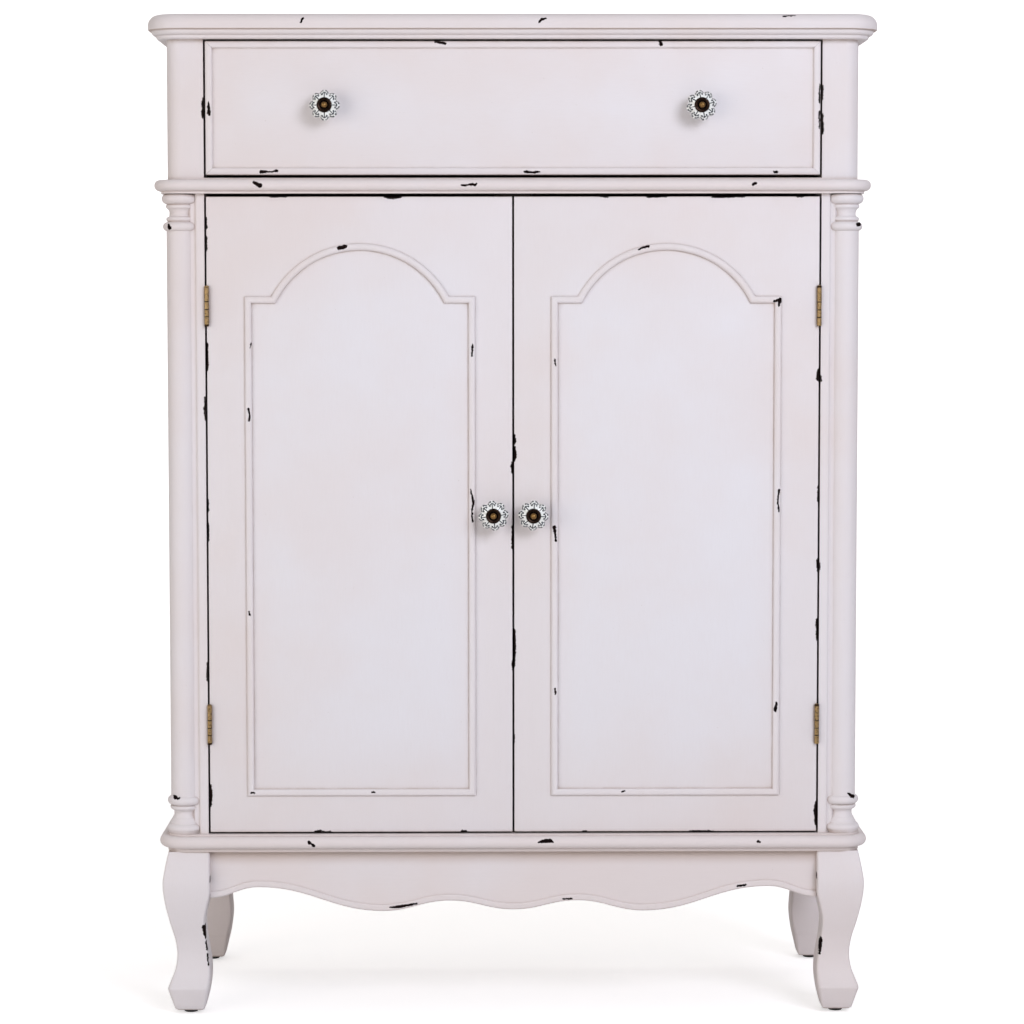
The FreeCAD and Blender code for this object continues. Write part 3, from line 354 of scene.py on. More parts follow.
def old_metal(name, bright, dark, rough_low, rough_high, patina=0.5, scale=260.0, joints=()):
    """Aged metal: bright where it is handled, dark in its recesses.
    joints are dark lines (hand, z, half height) where one hinge knuckle meets the next."""
    graph = Graph(name)
    point = graph.place()
    blotch = graph.noise(point, scale, 4.0, 0.65)
    fine = graph.noise(point, scale * 7.0, 3.0)
    recess = graph.ramp(graph.openness(3.0, samples=6), 0.35, 0.9, 1.0, 0.0)
    age = graph.math("MAXIMUM", graph.ramp(blotch, patina, patina + 0.22), recess)
    x, _, z = graph.split(point)
    for hand, level_z, half in joints:
        other_side = graph.math("MULTIPLY", x, -hand)
        far = graph.math("MAXIMUM", graph.off(z, level_z), other_side)
        age = graph.math("MAXIMUM", age, graph.ramp(far, half * MM, (half + 0.25) * MM, 1.0, 0.0))
    colour = graph.mix(age, bright, dark)
    blotched = graph.ramp(blotch, 0.3, 0.7, rough_low, rough_high)
    rough = graph.math("ADD", blotched, graph.math("MULTIPLY", fine, 0.06))
    return graph.surface(colour, rough, graph.bump(fine, 0.03 * MM), Metallic=1.0)


def moulded(name, colour, rough):
    """Moulded plastic with a fine spark-eroded grain."""
    graph = Graph(name)
    point = graph.place()
    grain = graph.noise(point, 2600.0, 2.0)
    cloud = graph.noise(point, 60.0, 2.0)
    shade = graph.mix(graph.ramp(cloud, 0.3, 0.7, 0.0, 0.35), colour, tuple(c * 0.72 for c in colour))
    dull = graph.ramp(grain, 0.2, 0.8, rough, rough + 0.12)
    return graph.surface(shade, dull, graph.bump(grain, 0.04 * MM))


LOBES = 8
GLAZE_WHITE, GLAZE_CREAM = (0.86, 0.88, 0.86), (0.80, 0.80, 0.74)
INK_THICK, INK_THIN = (0.004, 0.007, 0.014), (0.012, 0.028, 0.045)
UV_SCALE = 100.0     # millimetres in one unit of the knobs' UV map


def glazed_petals(name):
    """White glaze with a brushed sprig on each lobe. The UV map holds the knob's own X and Z."""
    graph = Graph(name)
    uv = graph.add("ShaderNodeUVMap", uv_map="front").outputs[0]
    shake = graph.vector("SUBTRACT", graph.noise(uv, 26.0, 2.0, colour=True), (0.5, 0.5, 0.5))
    flat = graph.vector("SCALE", uv, scale=UV_SCALE)
    wobbly = graph.vector("ADD", flat, graph.vector("SCALE", shake, scale=0.9))
    east, north, _ = graph.split(wobbly)
    radius = graph.length(east, north)
    folded = graph.math("PINGPONG", graph.math("ARCTAN2", north, east), math.pi / LOBES)
    across = graph.math("MULTIPLY", radius, graph.math("SINE", folded))
    along = graph.math("MULTIPLY", radius, graph.math("COSINE", folded))

    def dot(x, y, size):
        far = graph.length(graph.math("SUBTRACT", across, x), graph.math("SUBTRACT", along, y))
        return graph.math("SUBTRACT", far, size)

    def ring(x, y, size, wide):
        return graph.math("SUBTRACT", graph.math("ABSOLUTE", dot(x, y, size)), wide)

    def join(operation, *fields):
        """MAXIMUM is the shape that all the fields share, and MINIMUM the shape that any of them covers."""
        joined = fields[0]
        for field in fields[1:]:
            joined = graph.math(operation, joined, field)
        return joined

    # An anchor on each lobe: a stem with a knot, a cross arc, and two commas along the lobe's rim.
    stem = join("MAXIMUM", graph.math("SUBTRACT", across, 0.56), graph.math("SUBTRACT", along, 14.4))
    cross = join("MAXIMUM", ring(0.0, 11.4, 3.1, 0.54), graph.math("SUBTRACT", 13.0, along))
    outside = join("MAXIMUM", ring(0.0, 12.9, 4.5, 0.52), graph.math("SUBTRACT", 13.9, along))
    comma = join("MAXIMUM", outside, graph.math("SUBTRACT", 1.1, across))
    knot = dot(0.0, 14.5, 0.95)
    ends = join("MINIMUM", dot(2.8, 12.5, 1.0), dot(4.2, 14.2, 0.85), dot(1.9, 16.8, 0.95))
    sprig = join("MINIMUM", stem, cross, comma, knot, ends)
    ink = graph.ramp(sprig, -0.12, 0.2, 1.0, 0.0)
    brush = graph.ramp(graph.noise(uv, 30.0, 2.0), 0.34, 0.46, 0.6, 1.0)
    pooled = graph.noise(uv, 16.0, 2.0)
    glaze = graph.mix(graph.ramp(pooled, 0.35, 0.7), GLAZE_WHITE, GLAZE_CREAM)
    painted_ink = graph.mix(graph.ramp(pooled, 0.4, 0.6), INK_THICK, INK_THIN)
    colour = graph.mix(graph.math("MULTIPLY", ink, brush), glaze, painted_ink)
    normal = graph.bump(graph.noise(uv, 9.0, 2.0), 0.3 * MM, 0.25)
    return graph.surface(colour, 0.09, normal, Coat_Weight=0.6, Coat_Roughness=0.04)


# ---------------------------------------------------------------- mesh helpers
def finish_mesh(name, mesh_data, material, body, replaced, sharp=38.0):
    """Makes the object from bmesh data (in metres), smooth except at sharp edges."""
    bmesh.ops.recalc_face_normals(mesh_data, faces=mesh_data.faces)
    for edge in mesh_data.edges:
        bent = len(edge.link_faces) == 2 and edge.calc_face_angle(0.0) > math.radians(sharp)
        edge.smooth = not bent
    for face in mesh_data.faces:
        face.smooth = True
    mesh = bpy.data.meshes.new(name)
    mesh_data.to_mesh(mesh)
    mesh_data.free()
    piece = bpy.data.objects.new(name, mesh)
    bpy.context.collection.objects.link(piece)
    piece.data.materials.append(material)
    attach(piece, body)
    if replaced:
        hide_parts(*replaced)


def skin(rows, close_rows=False, close_ends=False, cap=False, into=None):
    """A mesh over rows of points; every row has as many points as the others. Millimetres in, metres out."""
    data = into or bmesh.new()
    grid = [[data.verts.new(Vector(p) * MM) for p in row] for row in rows]
    count = len(grid[0])
    pairs = list(zip(grid, grid[1:])) + ([(grid[-1], grid[0])] if close_ends else [])
    for row, other in pairs:
        for i in range(count if close_rows else count - 1):
            j = (i + 1) % count
            data.faces.new((row[i], row[j], other[j], other[i]))
    if cap:
        data.faces.new(grid[0][::-1])
        data.faces.new(grid[-1])
    return data


def rounded_board(name, node, body, material, ease=0.4):
    """A plain board in place of its CAD node, with its arrises eased the way sanding leaves them."""
    low, high = box_mm(node)
    data = bmesh.new()
    bmesh.ops.create_cube(data, size=1.0)
    for vertex in data.verts:
        spot = Vector(low[i] if vertex.co[i] < 0 else high[i] for i in range(3))
        vertex.co = spot * MM
    edges = data.edges[:]
    bmesh.ops.bevel(data, geom=edges, offset=ease * MM, segments=3, profile=0.5, affect="EDGES")
    finish_mesh(name, data, material, body, [node], sharp=50.0)


def catmull_rom(a, b, c, d, t):
    """The value a share t of the way from b to c, with slopes that a and d set."""
    square, cube = 2 * a - 5 * b + 4 * c - d, 3 * b - a - 3 * c + d
    return 0.5 * (2 * b + (c - a) * t + square * t**2 + cube * t**3)


def smooth_curve(points, steps):
    """A smooth line through all the points, ends included, with so many steps to each stretch."""
    padded = [points[0], *points, points[-1]]
    line = []
    for four in zip(padded, padded[1:], padded[2:], padded[3:]):
        for step in range(steps):
            line.append(tuple(catmull_rom(*values, step / steps) for values in zip(*four)))
    return line + [points[-1]]


# ---------------------------------------------------------------- chips, where the paint wore through
DOOR_EDGE, DOOR_MEET = door_high.x, door_low.x
STILE_EDGE = box_mm("stile_right")[0].x
WEAR = {
    "top_panel": stroke((-250, 1189.5, 0.9), (-247.5, 1194, 1.0))
    + stroke((31, 1189.4, 0.9), (33, 1192.4, 1.0), (38, 1193.6, 1.1))
    + stroke((319, 1196.4, 0.7), (326, 1197, 0.8), (333, 1197, 0.5)),
    "drawer_moulding": stroke((-92, 1167.4, 0.8), (-86, 1167.0, 1.5), (-80, 1165.6, 1.1))
    + stroke((174.4, 1168.2, 2.0), (175.2, 1164.4, 2.0))
    + stroke((-361.3, 1096, 0.9), (-360.3, 1083, 2.0))
    + stroke((-299, 1014.6, 1.9), (-289, 1014.4, 0.6), (-280, 1015.8, 1.1))
    + stroke((14, 1014.6, 1.0), (24, 1014, 1.3), (32, 1014.4, 0.8))
    + stroke((310, 1014.4, 1.0), (314, 1014, 1.2))
    + upright(363.6, (1117, 1096, 0.5, 0.8), (1086, 1066, 0.8, 0.5)),
    "upper_post_left": upright(-368.2, (1101, 1079, 1.0, 1.4)),
    "upper_post_right": upright(368.0, (1116, 1100, 0.8, 0.5), (1083, 1060, 0.6, 1.1)),
    "waist_board": stroke((-306.5, 1001.5, 1.7), (-299.5, 997.8, 2.3))
    + stroke((-61.5, 998.4, 0.8), (-56, 998.0, 0.9), (-51, 999.0, 1.0))
    + stroke((-51, 999.0, 1.0), (-46, 998.8, 1.6), (-43.5, 999.8, 0.9))
    + stroke((284, 999, 1.4), (287.6, 1000.6, 1.6))
    + stroke((8, 1007.5, 0.8), (16, 1007.5, 1.0)),
    "left_door_panel": level(door_high.z, (-289, -270, 0.9, 0.7), (-152, -143, 1.6, 3.2))
    + level(door_high.z, (-143, -133, 3.2, 1.2))
    + upright(-DOOR_EDGE, (960, 948, 0.9, 1.2), (938, 922, 1.3, 0.9), (811, 780, 1.1, 1.7))
    + upright(-DOOR_EDGE, (624, 610, 1.0, 0.7), (596, 576, 0.8, 1.3))
    + upright(-DOOR_EDGE, (280, 268, 1.2, 2.4), (268, 254, 2.2, 0.9))
    + upright(-DOOR_MEET, (668, 657, 1.5, 1.3), (592, 566, 0.7, 0.9), (430, 419, 0.8, 0.7))
    + level(door_low.z, (-239, -234, 1.0, 2.6), (-230, -220, 0.7, 0.8), (-62, -57, 1.6, 1.3)),
    "right_door_panel": level(door_high.z, (104, 112, 0.8, 1.0), (160, 182, 1.3, 0.7), (238, 276, 1.5, 0.8))
    + level(door_high.z, (338, 346, 0.9, 0.9))
    + upright(DOOR_MEET, (701, 692, 1.2, 1.7), (687, 676, 1.3, 3.2), (676, 671, 3.0, 1.2))
    + upright(DOOR_MEET, (467, 448, 1.0, 1.9), (446, 424, 1.9, 0.8), (340, 331, 0.9, 0.7))
    + upright(DOOR_EDGE, (779, 768, 1.6, 2.6), (640, 622, 0.5, 0.8))
    + upright(DOOR_EDGE, (551, 538, 1.3, 0.9), (479, 455, 1.9, 1.0))
    + upright(DOOR_EDGE, (258, 248, 0.9, 2.8), (248, 231, 2.8, 1.2))
    + level(door_low.z, (84, 88, 1.1, 0.9), (213, 240, 0.9, 0.8)),
    "stile_left": upright(-STILE_EDGE, (747, 734, 1.2, 1.9), (732, 720, 1.9, 1.0), (428, 407, 1.1, 1.2)),
    "stile_right": upright(STILE_EDGE, (771, 766, 1.2, 1.0), (547, 540, 0.8, 0.7)),
    "left_door_moulding": stroke((-207, 924.3, 2.3), (-199.5, 926.4, 2.0))
    + stroke((-48.4, 809, 0.9), (-49.3, 796, 0.7))
    + stroke((-312.5, 811, 0.5), (-313.5, 806, 0.5))
    + stroke((-316, 733, 1.3), (-314.5, 726, 0.7), (-315.2, 719, 0.9))
    + stroke((-51, 636, 0.8), (-49, 628, 0.9), (-47.8, 619, 1.2), (-49.6, 611, 0.7), (-48.9, 598, 0.9))
    + stroke((-317, 490, 1.0), (-316.2, 486, 0.9))
    + stroke((-315.5, 271.5, 1.1), (-312, 271, 0.7))
    + stroke((-170, 272, 1.1), (-167, 271.5, 0.9)),
    "right_door_moulding": stroke((149, 922.4, 0.6), (155, 924.8, 1.1), (161, 926.2, 1.2))
    + stroke((311, 861, 1.0), (318, 862.5, 2.2), (316.6, 855, 0.6))
    + stroke((49.5, 792, 0.8), (50.5, 785, 0.6))
    + stroke((318, 636, 0.9), (316.4, 624, 0.7), (318, 610, 1.1))
    + stroke((49.2, 591, 2.0), (50, 584, 1.0), (51, 575, 1.2))
    + stroke((50, 396, 0.9), (50.5, 390, 0.7))
    + stroke((316, 379, 1.0), (315, 370, 1.6))
    + stroke((131, 272, 0.9), (134, 272.5, 0.7)),
    "base_board": stroke((-246, 213, 1.6), (-240, 208.6, 1.7))
    + stroke((30, 212.4, 1.0), (36, 214, 1.6), (43, 213.8, 2.3), (47, 212.6, 1.0))
    + stroke((293, 213, 1.2), (296, 212, 1.0)),
    "apron_front": stroke((-149, 130.3, 0.9), (-137, 131.4, 1.6), (-117, 135, 0.8))
    + stroke((60, 140.4, 0.7), (70, 140.6, 0.9))
    + stroke((271, 155.5, 1.2), (281, 157, 0.9)),
    "leg_front_left": stroke((-366.6, 169, 0.8), (-366.6, 163, 0.9))
    + stroke((-374.4, 108, 1.9), (-373.4, 100, 1.5), (-372.4, 93, 0.8))
    + stroke((-371.8, 89, 0.7), (-371.0, 78, 0.8))
    + stroke((-370.4, 73, 0.8), (-369.4, 60, 0.7)),
    "leg_front_right": stroke((366, 172, 0.7), (366, 166, 0.8))
    + stroke((372.4, 92, 1.0), (371.8, 84, 2.0), (371.0, 72, 1.2)),
    "column_left": stroke((-409.6, 951.6, 1.6), (-408.4, 948.4, 2.0))
    + stroke((-408, 265.5, 2.1), (-404.6, 264, 1.4), (-402, 264.4, 0.8)),
    "column_right": stroke((413.2, 952.6, 2.0), (411, 951.6, 2.2))
    + stroke((403.6, 268.6, 0.9), (407, 266, 1.8), (410.4, 264.4, 1.8)),
}


def side_spots(reach, z, front, back):
    """The two level edges that run front to back at one height."""
    return [((hand * reach, front, z), (hand * reach, back, z)) for hand in HANDS.values()]


SIDE_WEAR_FRONT = -140      # the front corners' own chips are in the list above
SLAB_BACK = slab_high.y
slab_back_edge = ((-420, SLAB_BACK, 1199.6), (420, SLAB_BACK, 1199.6))
case_back_edges = [
    ((hand * CASE_HALF, CASE_BACK, 230), (hand * CASE_HALF, CASE_BACK, 980)) for hand in HANDS.values()
]
WEAR["top_panel"] += random_chips(9, side_spots(slab_high.x - 0.6, 1186, SIDE_WEAR_FRONT, SLAB_BACK))
WEAR["top_panel"] += random_chips(3, [slab_back_edge])
WEAR["waist_board"] += random_chips(7, side_spots(waist_high.x, 999, SIDE_WEAR_FRONT, CASE_BACK))
WEAR["base_board"] += random_chips(7, side_spots(base_high.x, 211, SIDE_WEAR_FRONT, CASE_BACK))
WEAR["side_panels"] = random_chips(12, case_back_edges)


# ---------------------------------------------------------------- materials
VERTICAL_GRAIN = (1.0, 1.0, 0.05)
LEVEL_GRAIN = (0.05, 1.0, 1.0)
DEPTH_GRAIN = (1.0, 0.05, 1.0)
# How far the chips of a rounded piece lie in front of the doors' face.
ROUNDED = {
    "top_panel": FACE - slab_low.y,
    "waist_board": FACE - waist_low.y,
    "base_board": FACE - base_low.y,
    "apron_front": FACE - box_mm("apron_front")[0].y,
    "drawer_moulding": 3.0,
    "left_door_moulding": FACE - trim_low.y,
    "right_door_moulding": FACE - trim_low.y,
    "leg_front_left": -2.0,
    "leg_front_right": -2.0,
    "column_left": 0.0,
    "column_right": 0.0,
}


def wear_paint(key, grain=VERTICAL_GRAIN, warm=0.0, **more):
    """Paint with its own chips. On a rounded piece a chip's depth hardly counts."""
    depth = 0.12 if key in ROUNDED else 0.6
    return painted("paint_" + key, grain, WEAR.get(key, ()), warm, ROUNDED.get(key, 0.0), depth, **more)


DOOR_CENTRE = (trim_low.x + trim_high.x) / 2
DOOR_MIDDLE = (trim_low.z + trim_high.z) / 2
DOOR_FIELD = (trim_high.x - trim_low.x) / 2, (trim_high.z - trim_low.z) / 2
DRAWER_FIELD = (0.0, (drawer_low.z + drawer_high.z) / 2, drawer_high.x - 25.0, 66.0)
door_paint = {
    side: wear_paint(f"{side}_door_panel", clean=(hand * DOOR_CENTRE, DOOR_MIDDLE, *DOOR_FIELD))
    for side, hand in HANDS.items()
}
bead_paint = {side: wear_paint(f"{side}_door_moulding") for side in HANDS}
drawer_paint = painted("paint_drawer_front", LEVEL_GRAIN, clean=DRAWER_FIELD)
plain_paint = painted("paint_plain")
# The rear legs get a warmer, darker paint: painted shade for the shadow they stand in under the case.
rear_leg_painted_shade = painted("paint_rear_legs_shade", warm=0.16)
fillet_paint = painted("paint_fillet", glazed=0.12)
inside_paint = painted("paint_inside", DEPTH_GRAIN, warm=0.05)
drawer_wood = raw_wood("drawer_wood", (0.62, 0.44, 0.27), (0.42, 0.26, 0.14))
board = hardboard("hardboard")
leaf_low, leaf_high = box_mm("left_door_hinge_leaves")
BARREL_TALL = 48.0
# Each line between two knuckles is (distance under the barrel's top, half height), by the door's hand.
KNUCKLES = {
    -1: ((18.4, 0.5), (27.8, 0.5), (36.5, 0.5), (46.9, 1.3)),
    1: ((1.2, 1.2), (19.5, 0.5), (28.9, 0.5), (37.6, 0.5)),
}
hinge_joints = [
    (hand, top - down, half)
    for hand, lines in KNUCKLES.items()
    for top in (leaf_high.z, leaf_low.z + BARREL_TALL)
    for down, half in lines
]
hinge_brass = old_metal(
    "hinge_brass", (0.37, 0.25, 0.115), (0.040, 0.022, 0.012), 0.34, 0.52, 0.48, 420.0, joints=hinge_joints
)
knob_brass = old_metal("knob_brass", (0.27, 0.155, 0.055), (0.05, 0.027, 0.012), 0.24, 0.40, 0.53, 420.0)
knob_bronze = old_metal("knob_bronze", (0.030, 0.018, 0.013), (0.006, 0.004, 0.004), 0.26, 0.42, 0.46, 420.0)
zinc = old_metal("zinc_steel", (0.62, 0.63, 0.65), (0.38, 0.38, 0.40), 0.24, 0.38, 0.6, 120.0)
nylon = moulded("dark_nylon", (0.030, 0.029, 0.028), 0.45)
catch_plastic = moulded("brown_plastic", (0.040, 0.026, 0.020), 0.42)
petal_glaze = glazed_petals("petal_glaze")


def dress(material, *names):
    """Gives CAD nodes their finish."""
    for name in names:
        for slot in nodes[name].material_slots:
            slot.material = material


# The bands paint shade under the slab's nose and on the cornice's top, and under the base board's nose and on
# the apron's top.
UNDER_SLAB, UNDER_BASE = slab_low.z, base_low.z
dress(wear_paint("top_panel", LEVEL_GRAIN, 0.05, bands=[(UNDER_SLAB + 0.2, 1.0, 0.6)]), "top_panel")
dress(wear_paint("waist_board", LEVEL_GRAIN, 0.14, glazed=0.42), "waist_board")
dress(wear_paint("base_board", LEVEL_GRAIN, 0.16, bands=[(UNDER_BASE, 3.2, 0.26)], glazed=0.34), "base_board")
dress(painted("paint_cornice", LEVEL_GRAIN, bands=[(UNDER_SLAB, 1.0, 0.5)], glazed=0.12), "cornice_board")
apron_bands = [(UNDER_BASE - 3.0, 17.0, 0.50)]
dress(wear_paint("apron_front", LEVEL_GRAIN, 0.10, bands=apron_bands, glazed=0.22), "apron_front")
for side in HANDS:
    dress(wear_paint(f"upper_post_{side}"), f"upper_post_{side}")
    dress(wear_paint(f"stile_{side}", glazed=0.30), f"stile_{side}")
    dress(wear_paint(f"column_{side}", glazed=0.46), f"column_{side}")
    dress(hinge_brass, f"{side}_door_hinge_leaves", f"{side}_door_hinge_screws")
    dress(zinc, f"{side}_door_strike")
    dress(knob_brass, f"{side}_door_knob_bolt")
    dress(knob_bronze, f"{side}_door_knob_collar")
dress(wear_paint("side_panels"), "side_panel_left", "side_panel_right", "upper_side_panels")
dress(painted("paint_depth", DEPTH_GRAIN), "side_aprons")
dress(plain_paint, "apron_back")
dress(board, "back_panel", "drawer_bottom")
dress(drawer_wood, "drawer_sides", "slide_cleats")
dress(hinge_brass, "hinge_frame_leaves", "hinge_pins", "hinge_frame_screws")
dress(knob_brass, "drawer_knob_bolts")
dress(knob_bronze, "drawer_knob_collars")
dress(zinc, "slide_outer_members", "slide_inner_members", "slide_ball_cages", "shelf_pins")
dress(nylon, "foot_glides")
dress(catch_plastic, "magnetic_catch")


# ---------------------------------------------------------------- boards with eased arrises
for side in HANDS:
    rounded_board(f"{side}_door_board", f"{side}_door_panel", f"{side}_door", door_paint[side])
rounded_board("drawer_front_board", "drawer_front", "drawer", drawer_paint)
for node in ("shelf_lower", "shelf_upper"):
    rounded_board(node + "_board", node, "root", inside_paint, ease=1.5)
rounded_board("drawer_back_board", "drawer_back", "drawer", drawer_wood, ease=0.8)


# ---------------------------------------------------------------- mouldings
def bead(wide, high, steps=12, power=2.3):
    """Half-round section, a little flatter than a circle: (inset, height) pairs."""
    section = [(0.0, 0.0)]
    for step in range(1, steps):
        turn = math.pi * step / steps
        across = math.copysign(abs(math.cos(turn)) ** (2 / power), math.cos(turn))
        section.append((wide / 2 * (1 - across), high * math.sin(turn) ** (2 / power)))
    return [*section, (wide, 0.0)]


TRIM_SHOULDER = 867.2    # height where the bead's uprights end
ARCH_RADIUS = 120.5
TRIM_WIDE = 8.6


def arch_outline(inset, steps=56):
    """The door moulding's outline, moved in by inset."""
    left, right = trim_low.x + inset, trim_high.x - inset
    low, shoulder = trim_low.z + inset, TRIM_SHOULDER - inset
    radius = ARCH_RADIUS - inset
    centre_x, centre_z = (left + right) / 2, trim_high.z - ARCH_RADIUS
    start = math.asin((shoulder - centre_z) / radius)
    arc = []
    for step in range(steps + 1):
        turn = start + (math.pi - 2 * start) * step / steps
        arc.append((centre_x + radius * math.cos(turn), centre_z + radius * math.sin(turn)))
    return [(left, low), (right, low), (right, shoulder), *arc, (left, shoulder)]


def make_door_moulding(side, hand):
    """The arched bead on a door, as one closed loop."""
    rows = [
        [(hand * x, FACE - height, z) for x, z in arch_outline(inset)]
        for inset, height in bead(TRIM_WIDE, FACE - trim_low.y)
    ]
    data = skin(rows, close_rows=True, close_ends=True)
    node = f"{side}_door_moulding"
    finish_mesh(f"{side}_door_bead", data, bead_paint[side], f"{side}_door", [node])


def make_drawer_moulding():
    """A flat border with an eased outer arris and a rounded step on its inner edge, as four mitred strips."""
    proud = FACE - box_mm("drawer_front_moulding")[0].y
    section = [
        (0.0, 0.0),
        (0.0, proud - 1.3),
        (0.4, proud - 0.5),
        (1.3, proud - 0.05),
        (6.2, proud),
        (7.0, proud - 0.25),
        (7.6, proud - 0.9),
        (8.0, proud - 1.8),
        (8.4, proud - 2.7),
        (8.8, 0.0),
    ]
    mitre_gap = 0.13
    data = bmesh.new()
    left, right, low, high = drawer_low.x, drawer_high.x, drawer_low.z, drawer_high.z
    corners = [(left, low, 1, 1), (right, low, -1, 1), (right, high, -1, -1), (left, high, 1, -1)]
    for (x0, z0, in_x0, in_z0), (x1, z1, in_x1, in_z1) in zip(corners, corners[1:] + corners[:1]):
        run = Vector((x1 - x0, 0.0, z1 - z0)).normalized() * mitre_gap
        rows = [
            [Vector((x + in_x * inset, FACE - height, z + in_z * inset)) + pull for inset, height in section]
            for x, z, in_x, in_z, pull in ((x0, z0, in_x0, in_z0, run), (x1, z1, in_x1, in_z1, -run))
        ]
        skin(rows, close_rows=True, cap=True, into=data)
    paint = wear_paint("drawer_moulding", LEVEL_GRAIN, glazed=0.42)
    node = "drawer_front_moulding"
    finish_mesh("drawer_border", data, paint, "drawer", [node], sharp=44.0)


def make_column_fillet(side, hand):
    """The painted cove in the corner between a stile and its column, behind the turnings' widest part."""
    notch = box_mm("column_right")[0].x
    # (distance outward from the notch, depth behind the doors' face)
    section = [
        (-0.3, 3.1), (0.5, 3.5), (1.8, 3.8), (3.2, 3.8), (4.6, 3.5), (5.4, 3.1), (13.0, 15.5),
        (13.0, 29.0), (-0.3, 29.0),
    ]
    rows = [[(hand * (notch + x), FACE + y, z) for x, y in section] for z in (base_high.z, waist_low.z)]
    data = skin(rows, close_rows=True, cap=True)
    finish_mesh(f"column_fillet_{side}", data, fillet_paint, "root", [])


for side, hand in HANDS.items():
    make_door_moulding(side, hand)
    make_column_fillet(side, hand)
make_drawer_moulding()


# ---------------------------------------------------------------- legs
# A leg's faces are points (distance out from the case's corner, height), from the top down.
TOE = -2.6
LEG_OUTER = [
    (4.0, 199.5), (8.4, 179.0), (10.8, 160.0), (8.6, 138.0), (3.2, 113.0), (-2.4, 92.0),
    (-4.8, 73.0), (-2.8, 56.0), (2.6, 41.5), (6.4, 32.0),
]
LEG_INNER_FRONT = [
    (-45.8, 147.0), (-42.2, 133.0), (-38.8, 115.0), (-39.6, 96.0), (-42.2, 76.0),
    (-44.4, 60.0), (-45.0, 46.0), (-44.0, 33.0), (-41.6, 20.0),
]
LEG_INNER_REAR = [(-45.8, 147.0), (-44.2, 118.0), (-44.8, 92.0), (-46.8, 62.0), (-43.0, 34.0)]
FRONT_HEEL, REAR_HEEL = -37.4, -36.0
SOLE_EASE = 2.4          # height over which the sole's edge is rounded
CORNER_STEPS = 5


def outward_at(curve, foot, z):
    """How far a leg's face stands out at a height: along its curve, then straight to the foot."""
    if z >= curve[0][1]:
        return curve[0][0]
    for (a, high), (b, low) in zip(curve, curve[1:]):
        if high >= z >= low:
            return b + (a - b) * (z - low) / max(high - low, 1e-6)
    a, high = curve[-1]
    return a + (foot[0] - a) * (high - z) / (high - foot[1])


def leg_levels(top, crease, sole):
    """Heights of a leg's rings: even down to the toe's crease, then close together round it and the sole."""
    last = crease + 6.0
    levels = [top - (top - last) * k / 54 for k in range(55)]
    levels += [crease + rise for rise in (4.0, 2.5, 1.4, 0.6, 0.0, -0.7, -1.6, -4.0, -10.0, -18.0)]
    return levels + [sole + rise for rise in (SOLE_EASE, 1.6, 0.9, 0.4, 0.0)]


def rounded_square(out, into, ease):
    """A leg's ring seen from above: a square from into to out on both axes, with rounded corners."""
    ring = []
    for corner, (p, q) in enumerate(((out, out), (into, out), (into, into), (out, into))):
        centre_p = p - ease if p == out else p + ease
        centre_q = q - ease if q == out else q + ease
        for step in range(CORNER_STEPS + 1):
            turn = math.radians(90 * corner + 90 / CORNER_STEPS * step)
            ring.append((centre_p + ease * math.cos(turn), centre_q + ease * math.sin(turn)))
    return ring


def make_leg(node, hand_x, hand_y, inner_points, heel):
    """A cabriole leg, lofted through rounded squares, its arrises softened by sanding."""
    low, high = box_mm(node)
    sole = low.z
    crease = LEG_OUTER[-1][1]
    outer, inner = smooth_curve(LEG_OUTER, 6), smooth_curve(inner_points, 6)
    corner_y = FACE if hand_y < 0 else CASE_BACK
    rows = []
    for z in leg_levels(high.z, crease, sole):
        at_crease = 0.35 * math.exp(-(((z - crease - 0.2) / 1.6) ** 2))
        at_sole = 2.2 * max(0.0, (sole + SOLE_EASE - z) / SOLE_EASE) ** 2
        soften = at_crease + at_sole
        out = outward_at(outer, (TOE, sole), z) - soften
        into = outward_at(inner, (heel, sole), z) + soften * 0.6
        ease = 3.0 + 2.8 * math.exp(-(((z - crease) / 15.0) ** 2))
        ring = rounded_square(out, into, ease)
        rows.append([(hand_x * (CASE_HALF + p), corner_y + hand_y * q, z) for p, q in ring])
    data = skin(rows, close_rows=True, cap=True)
    # The rear legs take the paint with painted shade.
    paint = wear_paint(node) if node in WEAR else rear_leg_painted_shade
    finish_mesh(node + "_carved", data, paint, "root", [node], sharp=50.0)


for side, hand in HANDS.items():
    make_leg(f"leg_front_{side}", hand, -1, LEG_INNER_FRONT, FRONT_HEEL)
    make_leg(f"leg_rear_{side}", hand, 1, LEG_INNER_REAR, REAR_HEEL)


# ---------------------------------------------------------------- knobs
KNOB_FOOT = 7.0      # radius where the head meets its collar
KNOB_FLARE = 11.0    # from there to the rim


def smooth_knob_section():
    """The glazed head's half section, from its foot round the rim to its eye: (radius, depth) pairs."""
    foot = [(KNOB_FOOT, 8.0), (8.2, 11.5), (11.0, 14.4), (14.6, 16.6), (17.2, 19.0), (18.2, 21.8)]
    front = [(17.7, 24.6), (15.9, 27.2), (12.6, 29.4), (10.0, 30.7), (8.0, 31.3), (2.4, 31.5)]
    return smooth_curve(foot + front, 4)


def lobed(radius, depth, angle):
    """A point of the head's section, drawn in and down between two lobes."""
    valley = (1 - abs(math.cos(angle * LOBES / 2))) ** 1.35
    reach = min(1.0, max(0.0, (radius - KNOB_FOOT) / KNOB_FLARE))
    on_front = 1.0 if depth > 20 else 0.3
    return radius * (1 - 0.15 * valley * reach), depth - 2.6 * valley * reach**1.5 * on_front


